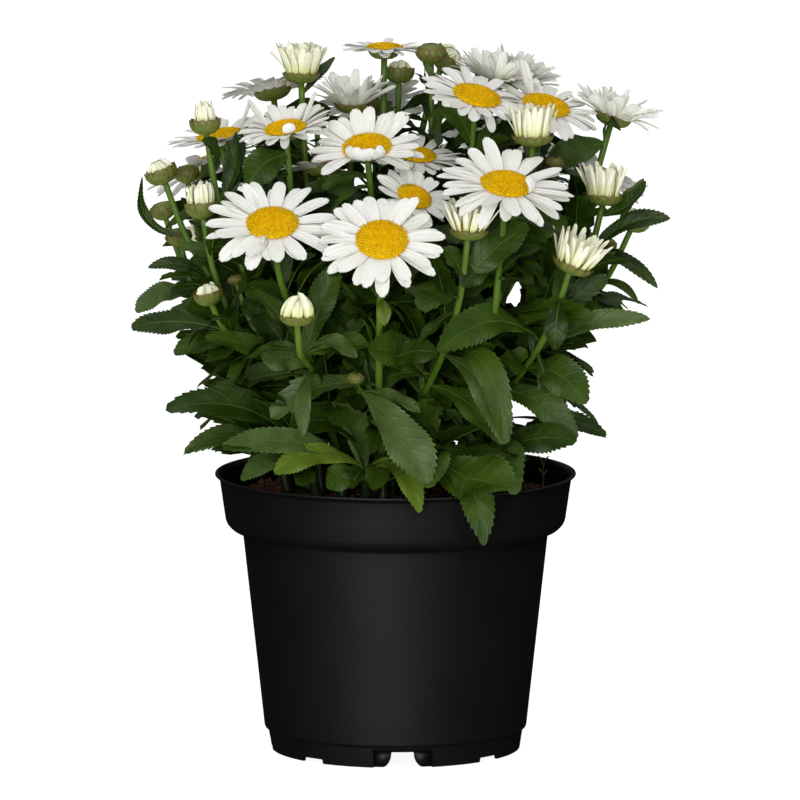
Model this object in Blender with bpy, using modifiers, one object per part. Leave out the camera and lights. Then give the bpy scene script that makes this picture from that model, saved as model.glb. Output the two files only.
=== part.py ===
"""Potted shasta daisy: a nursery pot, its compost, twenty-one stems, the crown masses they carry and the low tufts.

Every stem rises from a flat cut on the compost. Above its tip a crown mass goes on: one short stem that forks
into a twig for each flower head, with leaves set along the twigs by a seeded rule. Low tufts of longer leaves
stand between the stems. A mass keeps to its own space, which is every point nearer to its own twigs than to
those of any other mass, and a leaf that would leave that space is made shorter, turned, or left out.

Lengths are in metres; tables hold millimetres and are scaled by MM.
"""

import math

import bmesh
import bpy
import numpy as np
from mathutils.kdtree import KDTree

MM = 0.001
GAP = 0.3 * MM
SEED = 19

# Pot: a round tapered container with a rolled lip, a deep band and a notched foot ring.
POT_HEIGHT = 148 * MM
LIP_RADIUS = 96 * MM
LIP_DEPTH = 1.6 * MM
BAND_TOP_RADIUS = 93.6 * MM
BAND_FOOT_RADIUS = 90.2 * MM
BAND_FOOT_Z = 120.8 * MM
SHOULDER_Z = 117.2 * MM
BODY_TOP_RADIUS = 81.4 * MM
BODY_FOOT_RADIUS = 69.6 * MM
STEP_Z = 11.6 * MM
FOOT_TOP_RADIUS = 68.0 * MM
FOOT_RADIUS = 66.2 * MM
FOOT_WALL = 2.2 * MM
FLOOR_Z = 9.4 * MM
POT_WALL = 1.8 * MM
HUB_RADIUS = 15 * MM
POT_SIDES = 32
LARGE_NOTCH = (27, 8.5 * MM, (-86.5, 93.5))
SMALL_NOTCH = (12, 2.4 * MM, (-131.5, -41.5, 3.5, 48.5, 138.5, 183.5))

# Compost: level where the stems stand and lower at the wall.
COMPOST_TOP = 139 * MM
COMPOST_EDGE = 135 * MM
PLATEAU_RADIUS = 68 * MM
COMPOST_SIDES = 24

# Stems, each from its flared cut to where its crown mass begins.
STEM_FOOT_RADIUS = 4.4 * MM
STEM_RADIUS = 2.7 * MM
STEM_TIP_RADIUS = 2.2 * MM
STEM_RISE = 44 * MM
FLARE_HEIGHT = 6 * MM
END_RUN = 5 * MM
FOOT_SPREAD = 0.50
FOOT_LIMIT = 56 * MM
FOOT_SPACING = 15.5 * MM
FIRST_FORK = 10 * MM
FORK_STEP = 12 * MM
TWIG_RADIUS = 2.5 * MM
BRANCH_RADIUS = 2.1 * MM
NECK_RADIUS = 1.9 * MM
TWIG_STEPS = 4

# How far from the pot's axis the rule lets a leaf reach at each height, both in millimetres.
REACH_HEIGHTS = (140, 160, 190, 215, 240, 300, 330, 374)
REACHES = (101, 106, 116, 126, 134, 132, 122, 90)

# Leaves: longest and widest at the foot of the plant, small near the heads.
LOW_LEAF_Z = 150 * MM
HIGH_LEAF_Z = 325 * MM
LOW_LEAF = 78 * MM
HIGH_LEAF = 34 * MM
LEAF_ASPECT = 0.30
LEAF_EXTRA_WIDTH = 2.5 * MM
LEAF_SPACING = 27 * MM
HEART_RADIUS = 48 * MM
LEAF_THICKNESS = 1 / 55
LEAF_STALK = 1.7 * MM
WIDEST_SHARE = 0.6
BARE_NECK = 22 * MM
GOLDEN_ANGLE = 137.508
LEAF_RISE = 26
RISE_SPREAD = 26
LEAF_FACING = 0.8
ROLL_SPREAD = 0.5
LEAF_MARGIN = 1.4 * MM
NEIGHBOUR_MARGIN = 3 * MM
SISTER_MARGIN = 3.5 * MM
HEAD_MARGIN = 2 * MM
LIMB_MARGIN = 4.5 * MM

# Tufts: short stems round the pot that carry the longest leaves.
TUFT_COUNT = 12
TUFT_RING = 57 * MM
TUFT_STEM_RISE = 20 * MM
TUFT_LEAF = 76 * MM
TUFT_LEAVES = 8
TUFT_FAN = 62
TUFT_RIB = 80 * MM

# Flower heads.
RAY_COUNT = 10
FLARED_RAYS = 8
BRUSH_SIDES = 8
BUD_SIDES = 6
DISC_RADIUS = 13.5 * MM
DOME_HEIGHT = 5 * MM
CALYX_RADIUS = 9 * MM
CALYX_DEPTH = 7 * MM

PLASTIC = ("satin black plastic", (0.012, 0.012, 0.013), 0.42)
EARTH = ("dark compost", (0.045, 0.022, 0.014), 0.95)
STALK = ("green stalk", (0.11, 0.22, 0.045), 0.55)
FOLIAGE = ("green foliage and white heads", (0.075, 0.16, 0.04), 0.5)

# Heads: mass, kind, place of the disc's centre in millimetres, lean from upright and the compass angle
# that it leans to in degrees, and the radius in millimetres of the rays or of the bud.
HEADS = (
    (1, "opening", (-102, -35, 294), 6, 180, 8.0),
    (1, "opening", (-100, -26, 337), 4, 180, 7.5),
    (1, "opening", (-98, -56, 250), 14, 200, 7.0),
    (2, "opening", (-124, 0, 308), 22, 180, 8.0),
    (2, "bud", (-115, 10, 273), 8, 170, 6.5),
    (3, "open", (-93, 14, 326), 10, 200, 28.0),
    (3, "bud", (-111, 24, 305), 5, 170, 6.3),
    (4, "open", (-64, -84, 291), 29, -92, 34.0),
    (4, "opening", (-51, -108, 246), 4, -90, 9.0),
    (4, "bud", (-84, -38, 256), 10, 200, 3.6),
    (5, "open", (-7, -106, 285), 40, -87, 32.0),
    (5, "bud", (-21, -76, 209), 10, -90, 4.0),
    (6, "brush", (38, -84, 288), 6, -60, 10.0),
    (6, "open", (10, -50, 301), 36, -56, 21.0),
    (7, "open", (-58, -22, 334), 14, -124, 25.0),
    (7, "open", (-38, 3, 312), 14, 130, 24.0),
    (7, "bud", (-42, 38, 335), 4, 90, 5.5),
    (8, "open", (-15, -32, 325), 25, -100, 29.0),
    (8, "open", (11, 4, 317), 16, -60, 24.0),
    (9, "flared", (-50, 25, 358), 2, 90, 17.0),
    (9, "open", (-66, 62, 346), 18, 131, 28.0),
    (10, "flared", (-23, 36, 341), 3, -90, 17.0),
    (10, "open", (-6, 52, 369), 2, 90, 22.0),
    (11, "open", (43, -4, 349), 22, -51, 29.0),
    (11, "bud", (19, 38, 368), 5, -90, 7.4),
    (12, "open", (58, -80, 311), 22, -72, 35.0),
    (12, "brush", (72, -40, 332), 3, -90, 10.6),
    (13, "brush", (93, -58, 267), 24, -20, 11.0),
    (13, "brush", (110, -10, 297), 4, 0, 10.5),
    (14, "open", (80, 22, 341), 22, -50, 29.0),
    (14, "bud", (84, 4, 313), 12, -60, 4.5),
    (15, "flared", (116, 42, 333), 18, 10, 21.0),
    (15, "bud", (113, 20, 268), 20, 0, 4.2),
    (16, "flared", (52, 46, 353), 14, 0, 18.0),
    (16, "flared", (66, 76, 350), 20, 10, 19.0),
    (16, "opening", (28, 76, 360), 50, 0, 9.0),
    (17, "open", (-12, 100, 334), 24, 100, 32.0),
    (17, "opening", (2, 70, 354), 8, 80, 7.5),
    (17, "bud", (-20, 130, 262), 20, 95, 6.5),
    (18, "open", (52, 116, 312), 30, 70, 33.0),
    (18, "bud", (74, 128, 266), 20, 60, 6.0),
    (19, "open", (106, 86, 298), 34, 40, 31.0),
    (19, "opening", (128, 52, 276), 24, 20, 7.5),
    (20, "open", (-104, 72, 303), 28, 145, 31.0),
    (20, "bud", (-124, 36, 284), 16, 165, 6.5),
    (21, "open", (-58, 112, 290), 32, 115, 32.0),
    (21, "brush", (-100, 100, 256), 24, 140, 10.0),
)
MASS_COUNT = 21

# Leaves that give the outline its furthest tips: crown mass, or tuft for the nearest one, height of the root,
# tip and width in millimetres, and how far the blade arches above its chord as a share of its length.
KEY_LEAVES = (
    ("crown_02", 280, (-134, 0, 306), 6.5, -0.30),
    ("crown_03", 284, (-123, 18, 275), 6, 0.16),
    ("crown_02", 252, (-131, -6, 258), 9, 0.22),
    ("crown_02", 240, (-137, -6, 234), 14, 0.16),
    ("crown_01", 226, (-139, -36, 230), 15, 0.10),
    ("crown_01", 214, (-117, -20, 214), 12, 0.12),
    ("tuft", 158, (-120, -78, 192), 19, 0.18),
    ("tuft", 152, (-111, -52, 166), 12, 0.25),
    ("tuft", 154, (-90, -100, 175), 14, 0.16),
    ("tuft", 158, (17, -106, 155), 21, 0.30),
    ("tuft", 155, (46, -102, 124), 20, 0.42),
    ("tuft", 158, (63, -94, 150), 22, 0.28),
    ("crown_05", 216, (22, -90, 224), 15, 0.10),
    ("crown_06", 214, (57, -98, 178), 16, 0.30),
    ("tuft", 156, (95, -72, 175), 18, 0.16),
    ("crown_13", 222, (134, -40, 235), 12, 0.16),
    ("crown_15", 258, (139, 2, 246), 9, 0.22),
    ("crown_15", 244, (129, -2, 238), 5, 0.25),
    ("crown_13", 262, (145, -20, 286), 11, 0.10),
    ("crown_13", 280, (131, -10, 306), 9, -0.20),
    ("tuft", 160, (112, -4, 168), 12, 0.20),
    ("crown_11", 316, (25, -12, 347), 13, -0.10),
    ("crown_01", 300, (-84, -27, 333), 8, -0.12),
    ("crown_11", 340, (14, 17, 367), 5, -0.15),
    ("crown_17", 216, (-18, 142, 222), 14, 0.18),
    ("crown_18", 222, (66, 138, 232), 14, 0.18),
    ("crown_19", 226, (136, 78, 226), 13, 0.18),
    ("crown_20", 226, (-136, 62, 232), 13, 0.18),
    ("crown_21", 222, (-84, 134, 226), 14, 0.18),
)


def unit(vector):
    return vector / np.linalg.norm(vector, axis=-1, keepdims=True)


def mix(a, b, share):
    return a + (b - a) * share


def facing(lean, towards):
    """Unit vector that leans from upright towards a compass angle, both in degrees."""
    lean, towards = math.radians(lean), math.radians(towards)
    return np.array([math.sin(lean) * math.cos(towards), math.sin(lean) * math.sin(towards), math.cos(lean)])


def bezier(start, leave, arrive, end, steps):
    """Points of the cubic curve from start to end that leaves and arrives along the two handles."""
    t = np.linspace(0, 1, steps + 1)[:, None]
    return (1 - t) ** 3 * start + 3 * t * (1 - t) ** 2 * leave + 3 * t**2 * (1 - t) * arrive + t**3 * end


def arc_length(path):
    return np.concatenate([[0], np.cumsum(np.linalg.norm(np.diff(path, axis=0), axis=1))])


def point_along(path, distance):
    lengths = arc_length(path)
    return np.array([np.interp(distance, lengths, path[:, axis]) for axis in range(3)])


def spread_feet(feet):
    """Feet pushed apart until they stand FOOT_SPACING from each other, inside the level of the compost."""
    for _ in range(400):
        apart = feet[:, None] - feet[None]
        distance = np.linalg.norm(apart, axis=2) + np.eye(len(feet))
        push = np.clip(FOOT_SPACING - distance, 0, None) * (1 - np.eye(len(feet)))
        feet = feet + 0.25 * (apart / distance[:, :, None] * push[:, :, None]).sum(axis=1)
        radius = np.linalg.norm(feet, axis=1, keepdims=True)
        feet = feet * np.minimum(1, (FOOT_LIMIT + 4 * MM) / np.maximum(radius, MM))
    return feet


def tuft_feet():
    angles = np.radians(np.arange(TUFT_COUNT) * 360 / TUFT_COUNT + 165)
    return TUFT_RING * np.stack([np.cos(angles), np.sin(angles)], axis=1)


def fork_twigs(start, heading, heads):
    """The leader runs to the highest head; every further twig leaves the leader a little higher than the last."""
    twigs = []
    for order, head in enumerate(heads):
        seat = head["at"] - head["axis"] * CALYX_DEPTH * min(1, head["size"] / CALYX_RADIUS) * 0.6
        if order == 0:
            foot, leave, steps = start, heading, TWIG_STEPS + 1
        else:
            foot = point_along(twigs[0]["path"], FIRST_FORK + (order - 1) * FORK_STEP)
            sideways = (seat - foot) * [1, 1, 0]
            leave = unit(heading + 0.8 * sideways / max(np.linalg.norm(sideways), 20 * MM))
            steps = TWIG_STEPS
        reach = np.linalg.norm(seat - foot)
        arrive = seat - unit(head["axis"] * 0.8 + np.array([0, 0, 0.5])) * reach * 0.32
        bend = foot + leave * END_RUN
        path = bezier(bend, bend + leave * reach * 0.28, arrive, seat, steps - 1)
        path = np.concatenate([[foot], path])
        twigs.append(dict(path=path, head=head, radius=TWIG_RADIUS if order == 0 else BRANCH_RADIUS))
    return twigs


def plan_plant():
    """Where everything grows: for each crown mass its stem's path and its twigs, and for each tuft its foot."""
    heads = [dict(mass=m, kind=k, at=np.array(p) * MM, axis=facing(a, b), size=s * MM) for m, k, p, a, b, s in HEADS]
    centres = np.array([np.mean([h["at"] for h in heads if h["mass"] == m], axis=0) for m in range(1, MASS_COUNT + 1)])
    wanted = centres[:, :2] * FOOT_SPREAD
    radius = np.linalg.norm(wanted, axis=1, keepdims=True)
    wanted = wanted * np.minimum(1, 44 * MM / np.maximum(radius, MM))
    feet = spread_feet(np.concatenate([wanted, tuft_feet()]))
    ground = COMPOST_TOP + GAP
    masses = []
    for number, (foot, centre) in enumerate(zip(feet, centres), start=1):
        foot = np.array([*foot, ground])
        lean = centre - foot
        tip = foot + np.array([lean[0] * 0.20, lean[1] * 0.20, STEM_RISE])
        heading = unit(np.array([lean[0], lean[1], lean[2] * 1.5]))
        flare = foot + np.array([0, 0, FLARE_HEIGHT])
        bend = tip - heading * END_RUN
        stem = bezier(flare, flare + [0, 0, STEM_RISE * 0.35], bend - heading * STEM_RISE * 0.25, bend, 2)
        stem = np.concatenate([[foot, foot + [0, 0, FLARE_HEIGHT * 0.4]], stem, [tip]])
        start = tip + heading * GAP
        carried = sorted((h for h in heads if h["mass"] == number), key=lambda h: -h["at"][2])
        twigs = fork_twigs(start, heading, carried)
        masses.append(dict(name=f"crown_{number:02d}", stem=stem, start=start, twigs=twigs))
    tufts = []
    for number, foot in enumerate(feet[MASS_COUNT:], start=1):
        foot = np.array([*foot, ground])
        outward = math.degrees(math.atan2(foot[1], foot[0]))
        top = foot + facing(14, outward) * TUFT_STEM_RISE
        tufts.append(dict(name=f"tuft_{number:02d}", foot=foot, top=top, outward=outward))
    return masses, tufts


def midrib(leaf, share):
    """Points of a leaf's middle line, a quadratic curve, at shares of its length from root to tip."""
    share = np.atleast_1d(share)[:, None]
    return (1 - share) ** 2 * leaf["root"] + 2 * share * (1 - share) * leaf["bow"] + share**2 * leaf["tip"]


def blade_width(share):
    """Share of the full width: a narrow stalk that widens to two thirds of the length, then a blunt point."""
    return np.clip(np.sin(math.pi * np.clip(share, 0, 1) ** 1.7) ** 0.75, 0.0, 1) * 0.97 + 0.03


def make_leaf(root, tip, width, arch, roll=0.0):
    chord = tip - root
    length = np.linalg.norm(chord)
    flat = np.array([chord[0], chord[1], 0.0])
    flat = flat / max(np.linalg.norm(flat), 1e-6)
    side = np.array([-flat[1], flat[0], 0.0])
    over = unit(np.cross(chord, side))
    over = over if over[2] > 0 else -over
    bow = (root + tip) / 2 + over * length * arch * 2
    return dict(root=root, tip=tip, bow=bow, width=width, side=side, roll=roll, length=length)


def leaf_frame(leaf, share):
    """Middle points, sideways and upward unit vectors along a leaf."""
    middle = midrib(leaf, share)
    ahead = unit(midrib(leaf, np.minimum(share + 0.02, 1)) - midrib(leaf, np.maximum(share - 0.02, 0)))
    up = unit(np.cross(ahead, leaf["side"]))
    up = up * np.where(up[:, 2:] < -0.2, -1, 1)
    across = unit(np.cross(up, ahead))
    turn = leaf["roll"]
    return middle, across * math.cos(turn) + up * math.sin(turn), up * math.cos(turn) - across * math.sin(turn)


def leaf_samples(leaf, first=0.22):
    share = np.linspace(first, 1, 8)
    middle, across, _ = leaf_frame(leaf, share)
    half = (leaf["width"] / 2 * blade_width(share))[:, None]
    return np.concatenate([middle, middle + across * half, middle - across * half])


def point_tree(points):
    tree = KDTree(len(points))
    for number, point in enumerate(points):
        tree.insert(point, number)
    tree.balance()
    return tree


def nearest(tree, points):
    return np.array([tree.find(point)[2] for point in points])


def head_samples(head):
    """Points on the rim of a head, halfway to it and at its middle, which neighbours' leaves keep away from."""
    spin = np.radians(np.arange(0, 360, 30))
    axis = head["axis"]
    across = unit(np.cross(axis, [0.0, 1.0, 0.3]))
    round_it = np.cos(spin)[:, None] * across + np.sin(spin)[:, None] * np.cross(axis, across)
    lift = 0.3 if head["kind"] in ("open", "bud") else 1.0
    rim = head["at"] + round_it * head["size"] + axis * head["size"] * 0.15 * lift
    return np.concatenate([rim, head["at"] + round_it * head["size"] * 0.5, [head["at"]]])


def claim_space(masses, tufts, key_leaves):
    """For each mass, a tree of the points of its own twigs, heads and outline leaves, and one of all the others'."""
    points = []
    for mass in masses:
        claimed = []
        for twig in mass["twigs"]:
            steps = np.arange(0, arc_length(twig["path"])[-1], 5 * MM)
            claimed.append(np.array([point_along(twig["path"], s) for s in steps]))
            claimed.append(head_samples(twig["head"]))
        claimed.extend(leaf_samples(leaf, 0.3) for owner, leaf in key_leaves if owner == mass["name"])
        points.append(np.concatenate(claimed))
    for tuft in tufts:
        claimed = [np.linspace(tuft["foot"], tuft["top"], 4)]
        for rise in (8, 34, 60):
            rib = tuft["top"] + facing(90 - rise, tuft["outward"]) * TUFT_RIB * (1 if rise < 50 else 0.6)
            claimed.append(np.linspace(tuft["top"], rib, 12))
        claimed.extend(leaf_samples(leaf, 0.3) for owner, leaf in key_leaves if owner == tuft["name"])
        points.append(np.concatenate(claimed))
    space = {}
    for number, owner in enumerate(masses + tufts):
        others = np.concatenate(points[:number] + points[number + 1 :])
        space[owner["name"]] = (point_tree(points[number]), point_tree(others))
    return space


def clear_of_pot(points):
    """True where no point lies past the reach, in the pot's wall or under its lip, or in the compost."""
    radius = np.linalg.norm(points[:, :2], axis=1)
    z = points[:, 2]
    if np.any(radius > np.interp(z / MM, REACH_HEIGHTS, REACHES) * MM):
        return False
    inside_lip = radius < BAND_TOP_RADIUS - 7.2 * MM
    above_compost = z > COMPOST_TOP + 2.2 * MM
    above_lip = z > POT_HEIGHT + 2.5 * MM
    outside = (radius > LIP_RADIUS + 1.5 * MM) & (z > 100 * MM)
    return bool(np.all((inside_lip & above_compost) | above_lip | outside))


def clear_of_heads(points, heads):
    """True where no point lies in the round space that one of the mass's own heads takes up."""
    for head in heads:
        rise = (points - head["at"]) @ head["axis"]
        out = np.linalg.norm(points - head["at"] - rise[:, None] * head["axis"], axis=1)
        top = HEAD_MARGIN + head["size"] * (0.2 if head["kind"] == "open" else 1.5)
        if np.any((out < head["size"] + HEAD_MARGIN) & (rise > -CALYX_DEPTH - HEAD_MARGIN) & (rise < top)):
            return False
    return True


def stays_home(leaf, owner, space, limbs, heads, sisters):
    """Whether a leaf keeps to its mass's own space, off its heads, twigs and leaves, every limb and the pot."""
    samples = leaf_samples(leaf)
    if len(sisters) and np.linalg.norm(samples[:, None] - sisters[None], axis=2).min() < SISTER_MARGIN:
        return False
    if not clear_of_pot(samples) or not clear_of_heads(samples, heads):
        return False
    own_tree, other_tree = space[owner]
    other = nearest(other_tree, samples)
    if np.any(other < NEIGHBOUR_MARGIN) or np.any(other < nearest(own_tree, samples) + LEAF_MARGIN):
        return False
    return nearest(limbs, samples).min() > LIMB_MARGIN


def best_leaf(root, turn, rise, length, jitter, **tests):
    """The longest leaf near the wanted direction that stays home, rolled to face out of the plant, or None."""
    outward = math.atan2(root[1], root[0])
    for lift in (0, 18, 34):
        for share in (1.0, 0.8, 0.62):
            for swing in (0, 32, -32, 64, -64):
                size = length * share
                tip = root + facing(90 - min(rise + lift, 80), turn + swing) * size
                width = size * LEAF_ASPECT + LEAF_EXTRA_WIDTH
                roll = LEAF_FACING * math.sin(math.radians(turn + swing) - outward) + ROLL_SPREAD * jitter
                leaf = make_leaf(root, tip, width, 0.13, roll)
                if stays_home(leaf, **tests):
                    return leaf
    return None


def sister_points(path):
    steps = np.arange(0, arc_length(path)[-1], 4 * MM)
    return np.array([point_along(path, step) for step in steps])


def outward_turn(turn, root):
    """The same compass angle, turned half round where it would point back into the middle of the plant."""
    outward = math.degrees(math.atan2(root[1], root[0]))
    away = (turn - outward + 180) % 360 - 180
    return turn + 180 if abs(away) > 100 else turn


def leaf_length(z):
    share = np.clip((z - LOW_LEAF_Z) / (HIGH_LEAF_Z - LOW_LEAF_Z), 0, 1)
    return mix(LOW_LEAF, HIGH_LEAF, share**0.8)


def grow_leaves(masses, tufts):
    """Every leaf as (mass, leaf): first the outline's own, then those that the rule sets along twigs and tufts."""
    limbs = np.concatenate([mass["stem"] for mass in masses])
    limbs = point_tree(np.concatenate([limbs, (limbs[1:] + limbs[:-1]) / 2]))
    places = {}
    for mass in masses:
        places[mass["name"]] = np.concatenate([twig["path"] for twig in mass["twigs"]])
    for tuft in tufts:
        places[tuft["name"]] = np.linspace(tuft["foot"], tuft["top"], 6)
    key = []
    for name, height, tip, width, arch in KEY_LEAVES:
        tip = np.array(tip) * MM
        if name == "tuft":
            name = max(tufts, key=lambda tuft: unit(tuft["foot"][:2]) @ unit(tip[:2]))["name"]
        track = places[name]
        gaps = np.abs(track[:, 2] - height * MM) + 0.25 * np.linalg.norm(track - tip, axis=1)
        leaf = make_leaf(track[np.argmin(gaps)], tip, width * MM, arch)
        key.append((name, leaf))
    grown = list(key)
    space = claim_space(masses, tufts, key)
    none = np.zeros((0, 3))
    for number, mass in enumerate(masses):
        rng = np.random.RandomState(SEED + number)
        blades = np.concatenate([none] + [leaf_samples(leaf, 0.35) for name, leaf in key if name == mass["name"]])
        tests = dict(owner=mass["name"], space=space, limbs=limbs)
        heads = [twig["head"] for twig in mass["twigs"]]
        for twig in mass["twigs"]:
            total = arc_length(twig["path"])[-1]
            others = [sister_points(other["path"]) for other in mass["twigs"] if other is not twig]
            turn = rng.uniform(0, 360)
            for along in np.arange(5 * MM + rng.uniform(0, 0.5) * LEAF_SPACING, total - BARE_NECK, LEAF_SPACING):
                jitter = rng.uniform(-1, 1, 3)
                root = point_along(twig["path"], along)
                turn = outward_turn(turn + GOLDEN_ANGLE, root)
                if np.linalg.norm(root[:2]) < HEART_RADIUS and jitter[0] < 0:
                    continue
                length = leaf_length(root[2]) * (1 + 0.16 * jitter[0])
                rise = LEAF_RISE + RISE_SPREAD * jitter[1]
                sisters = np.concatenate([blades] + others)
                sisters = sisters[np.linalg.norm(sisters - root, axis=1) > 9 * MM]
                leaf = best_leaf(root, turn, rise, length, jitter[2], **tests, heads=heads, sisters=sisters)
                if leaf is not None:
                    grown.append((mass["name"], leaf))
                    blades = np.concatenate([blades, leaf_samples(leaf, 0.35)])
    for number, tuft in enumerate(tufts):
        rng = np.random.RandomState(SEED + 100 + number)
        blades = np.concatenate([none] + [leaf_samples(leaf, 0.35) for name, leaf in key if name == tuft["name"]])
        tests = dict(owner=tuft["name"], space=space, limbs=limbs)
        for order in range(TUFT_LEAVES):
            jitter = rng.uniform(-1, 1, 4)
            share = (order + 0.5) / TUFT_LEAVES
            turn = tuft["outward"] + TUFT_FAN * math.sin(order * 2.4) + 8 * jitter[0]
            rise = mix(2, 64, share**0.9) + 6 * jitter[1]
            length = TUFT_LEAF * mix(1.0, 0.8, share) * (1 + 0.12 * jitter[2])
            root = mix(tuft["foot"], tuft["top"], mix(0.45, 0.95, share))
            leaf = best_leaf(root, turn, rise, length, jitter[3], **tests, heads=[], sisters=blades)
            if leaf is not None:
                grown.append((tuft["name"], leaf))
                blades = np.concatenate([blades, leaf_samples(leaf, 0.35)])
    return grown


def clear_scene():
    for item in list(bpy.data.objects):
        bpy.data.objects.remove(item, do_unlink=True)


def collection(name):
    made = bpy.data.collections.new(name)
    bpy.context.scene.collection.children.link(made)
    return made


def material(kind):
    name, colour, roughness = kind
    made = bpy.data.materials.get(name) or bpy.data.materials.new(name)
    made.use_nodes = True
    shader = made.node_tree.nodes["Principled BSDF"]
    shader.inputs["Base Color"].default_value = (*colour, 1)
    shader.inputs["Roughness"].default_value = roughness
    return made


def mesh_object(name, mesh, home, kind=None):
    item = bpy.data.objects.new(name, mesh)
    home.objects.link(item)
    if kind:
        item.data.materials.append(material(kind))
    return item


def loft(sections, start=None, end=None):
    """Closed mesh through equal sections of points; each end is a flat fan, or a point where one is given."""
    count, sides = sections.shape[:2]
    points = [tuple(p) for p in sections.reshape(-1, 3)]
    faces = []
    for row in range(count - 1):
        for i in range(sides):
            j = (i + 1) % sides
            low, high = row * sides, (row + 1) * sides
            faces.append((low + i, low + j, high + j))
            faces.append((low + i, high + j, high + i))
    last = (count - 1) * sides
    for tip, base, order in ((start, 0, -1), (end, last, 1)):
        ring = [base + i for i in range(sides)][::order]
        if tip is None:
            faces.extend((ring[0], ring[i], ring[i + 1]) for i in range(1, sides - 1))
        else:
            points.append(tuple(tip))
            faces.extend((ring[i], ring[(i + 1) % sides], len(points) - 1) for i in range(sides))
    points, faces = np.array(points), np.array(faces)
    a, b, c = (points[faces[:, corner]] - points[0] for corner in range(3))
    if np.einsum("ij,ij->", a, np.cross(b, c)) < 0:
        faces = faces[:, ::-1]
    mesh = bpy.data.meshes.new("loft")
    mesh.from_pydata(points.tolist(), [], faces.tolist())
    return mesh


def twig_mesh(path, start_radius, end_radius, sides=3):
    """A tapering limb round a path, with flat ends."""
    ahead = unit(np.gradient(path, axis=0))
    across = unit(np.cross(ahead, [0.0, 1.0, 0.0]))
    over = np.cross(ahead, across)
    spin = np.radians(np.arange(sides) * 360 / sides)[None, :, None]
    radius = np.linspace(start_radius, end_radius, len(path))[:, None, None]
    sections = path[:, None] + radius * (np.cos(spin) * across[:, None] + np.sin(spin) * over[:, None])
    return loft(sections)


def leaf_mesh(leaf):
    """A leaf's solid: a three-cornered stalk sunk in its twig, a wide section past the middle, and the tip."""
    middle, across, up = leaf_frame(leaf, np.array([0.0, WIDEST_SHARE]))
    half = np.array([[LEAF_STALK / 2], [leaf["width"] / 2]])
    thick = np.array([[LEAF_STALK * 0.6], [leaf["length"] * LEAF_THICKNESS]])
    lift = up * half * np.array([[0.0], [0.2]])
    sections = np.stack([middle + across * half + lift, middle - across * half + lift, middle - up * thick], axis=1)
    return loft(sections, None, leaf["tip"])


def ring(head, radii, heights, turn=0.0):
    """Points round a head's axis, one for each radius, at heights above its centre."""
    axis = head["axis"]
    across = unit(np.cross(axis, [0.0, 1.0, 0.3]))
    beside = np.cross(axis, across)
    spin = turn + np.arange(len(radii)) * 2 * math.pi / len(radii)
    flat = np.cos(spin)[:, None] * across + np.sin(spin)[:, None] * beside
    return head["at"] + flat * np.array(radii)[:, None] + axis * np.array(heights)[:, None]


def turned_head(head, levels, points, bottom, top):
    """A head from rings of equal counts: each level is radius and height, plain or in turn for tip and notch."""
    sections = []
    for radius, height in levels:
        radius = np.resize(radius, points) if np.ndim(radius) else np.full(points, radius)
        height = np.resize(height, points) if np.ndim(height) else np.full(points, height)
        sections.append(ring(head, radius, height))
    axis = head["axis"]
    return loft(np.array(sections), head["at"] + axis * bottom, head["at"] + axis * top)


def head_mesh(head):
    size = head["size"]
    if head["kind"] == "open":
        disc = min(DISC_RADIUS, size * 0.44)
        levels = (
            ((size, size * 0.6), (-0.03 * size, 0.2 * MM)),
            (disc, 1.6 * MM),
        )
        return turned_head(head, levels, 2 * RAY_COUNT, -CALYX_DEPTH, DOME_HEIGHT)
    if head["kind"] == "flared":
        levels = (
            ((size, size * 0.7), (0.5 * size, 0.25 * size)),
            (6 * MM, 0.75 * size),
        )
        return turned_head(head, levels, 2 * FLARED_RAYS, -CALYX_DEPTH, 0.55 * size)
    if head["kind"] == "brush":
        levels = (
            (0.55 * size, -0.55 * size),
            (0.98 * size, 0),
            ((1.3 * size, 1.05 * size), (1.7 * size, 1.35 * size)),
        )
        return turned_head(head, levels, BRUSH_SIDES, -CALYX_DEPTH, 1.2 * size)
    top = 1.25 if head["kind"] == "opening" else 0.62
    levels = (
        (0.72 * size, -0.6 * size),
        (size, 0),
        (0.7 * size, 0.5 * top * size),
    )
    return turned_head(head, levels, BUD_SIDES, -0.9 * size, top * size)


def pot_profile():
    """Half outline of the pot as (radius, height): along the inside, over the lip and down the outer side."""
    inside = [
        (0, STEP_Z),
        (BODY_FOOT_RADIUS - 2 * POT_WALL, STEP_Z),
        (BODY_FOOT_RADIUS - POT_WALL, STEP_Z + POT_WALL),
        (BODY_TOP_RADIUS - POT_WALL, SHOULDER_Z - MM),
        (BAND_FOOT_RADIUS - 2 * POT_WALL, BAND_FOOT_Z),
        (BAND_TOP_RADIUS - POT_WALL, POT_HEIGHT - LIP_DEPTH),
        (BAND_TOP_RADIUS - 0.6 * POT_WALL, POT_HEIGHT),
    ]
    outside = [
        (LIP_RADIUS, POT_HEIGHT),
        (LIP_RADIUS, POT_HEIGHT - LIP_DEPTH),
        (BAND_TOP_RADIUS, POT_HEIGHT - 1.8 * LIP_DEPTH),
        (BAND_FOOT_RADIUS, BAND_FOOT_Z + 1.6 * MM),
        (BAND_FOOT_RADIUS - 2.2 * MM, BAND_FOOT_Z - 1.4 * MM),
        (BODY_TOP_RADIUS, SHOULDER_Z - 0.4 * MM),
        (BODY_FOOT_RADIUS, STEP_Z + 0.8 * MM),
        (FOOT_TOP_RADIUS, STEP_Z),
        (FOOT_RADIUS, 0),
        (FOOT_RADIUS - FOOT_WALL, 0),
        (FOOT_RADIUS - FOOT_WALL, FLOOR_Z),
        (HUB_RADIUS, FLOOR_Z),
        (HUB_RADIUS, 0),
        (0, 0),
    ]
    return inside + outside


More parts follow.
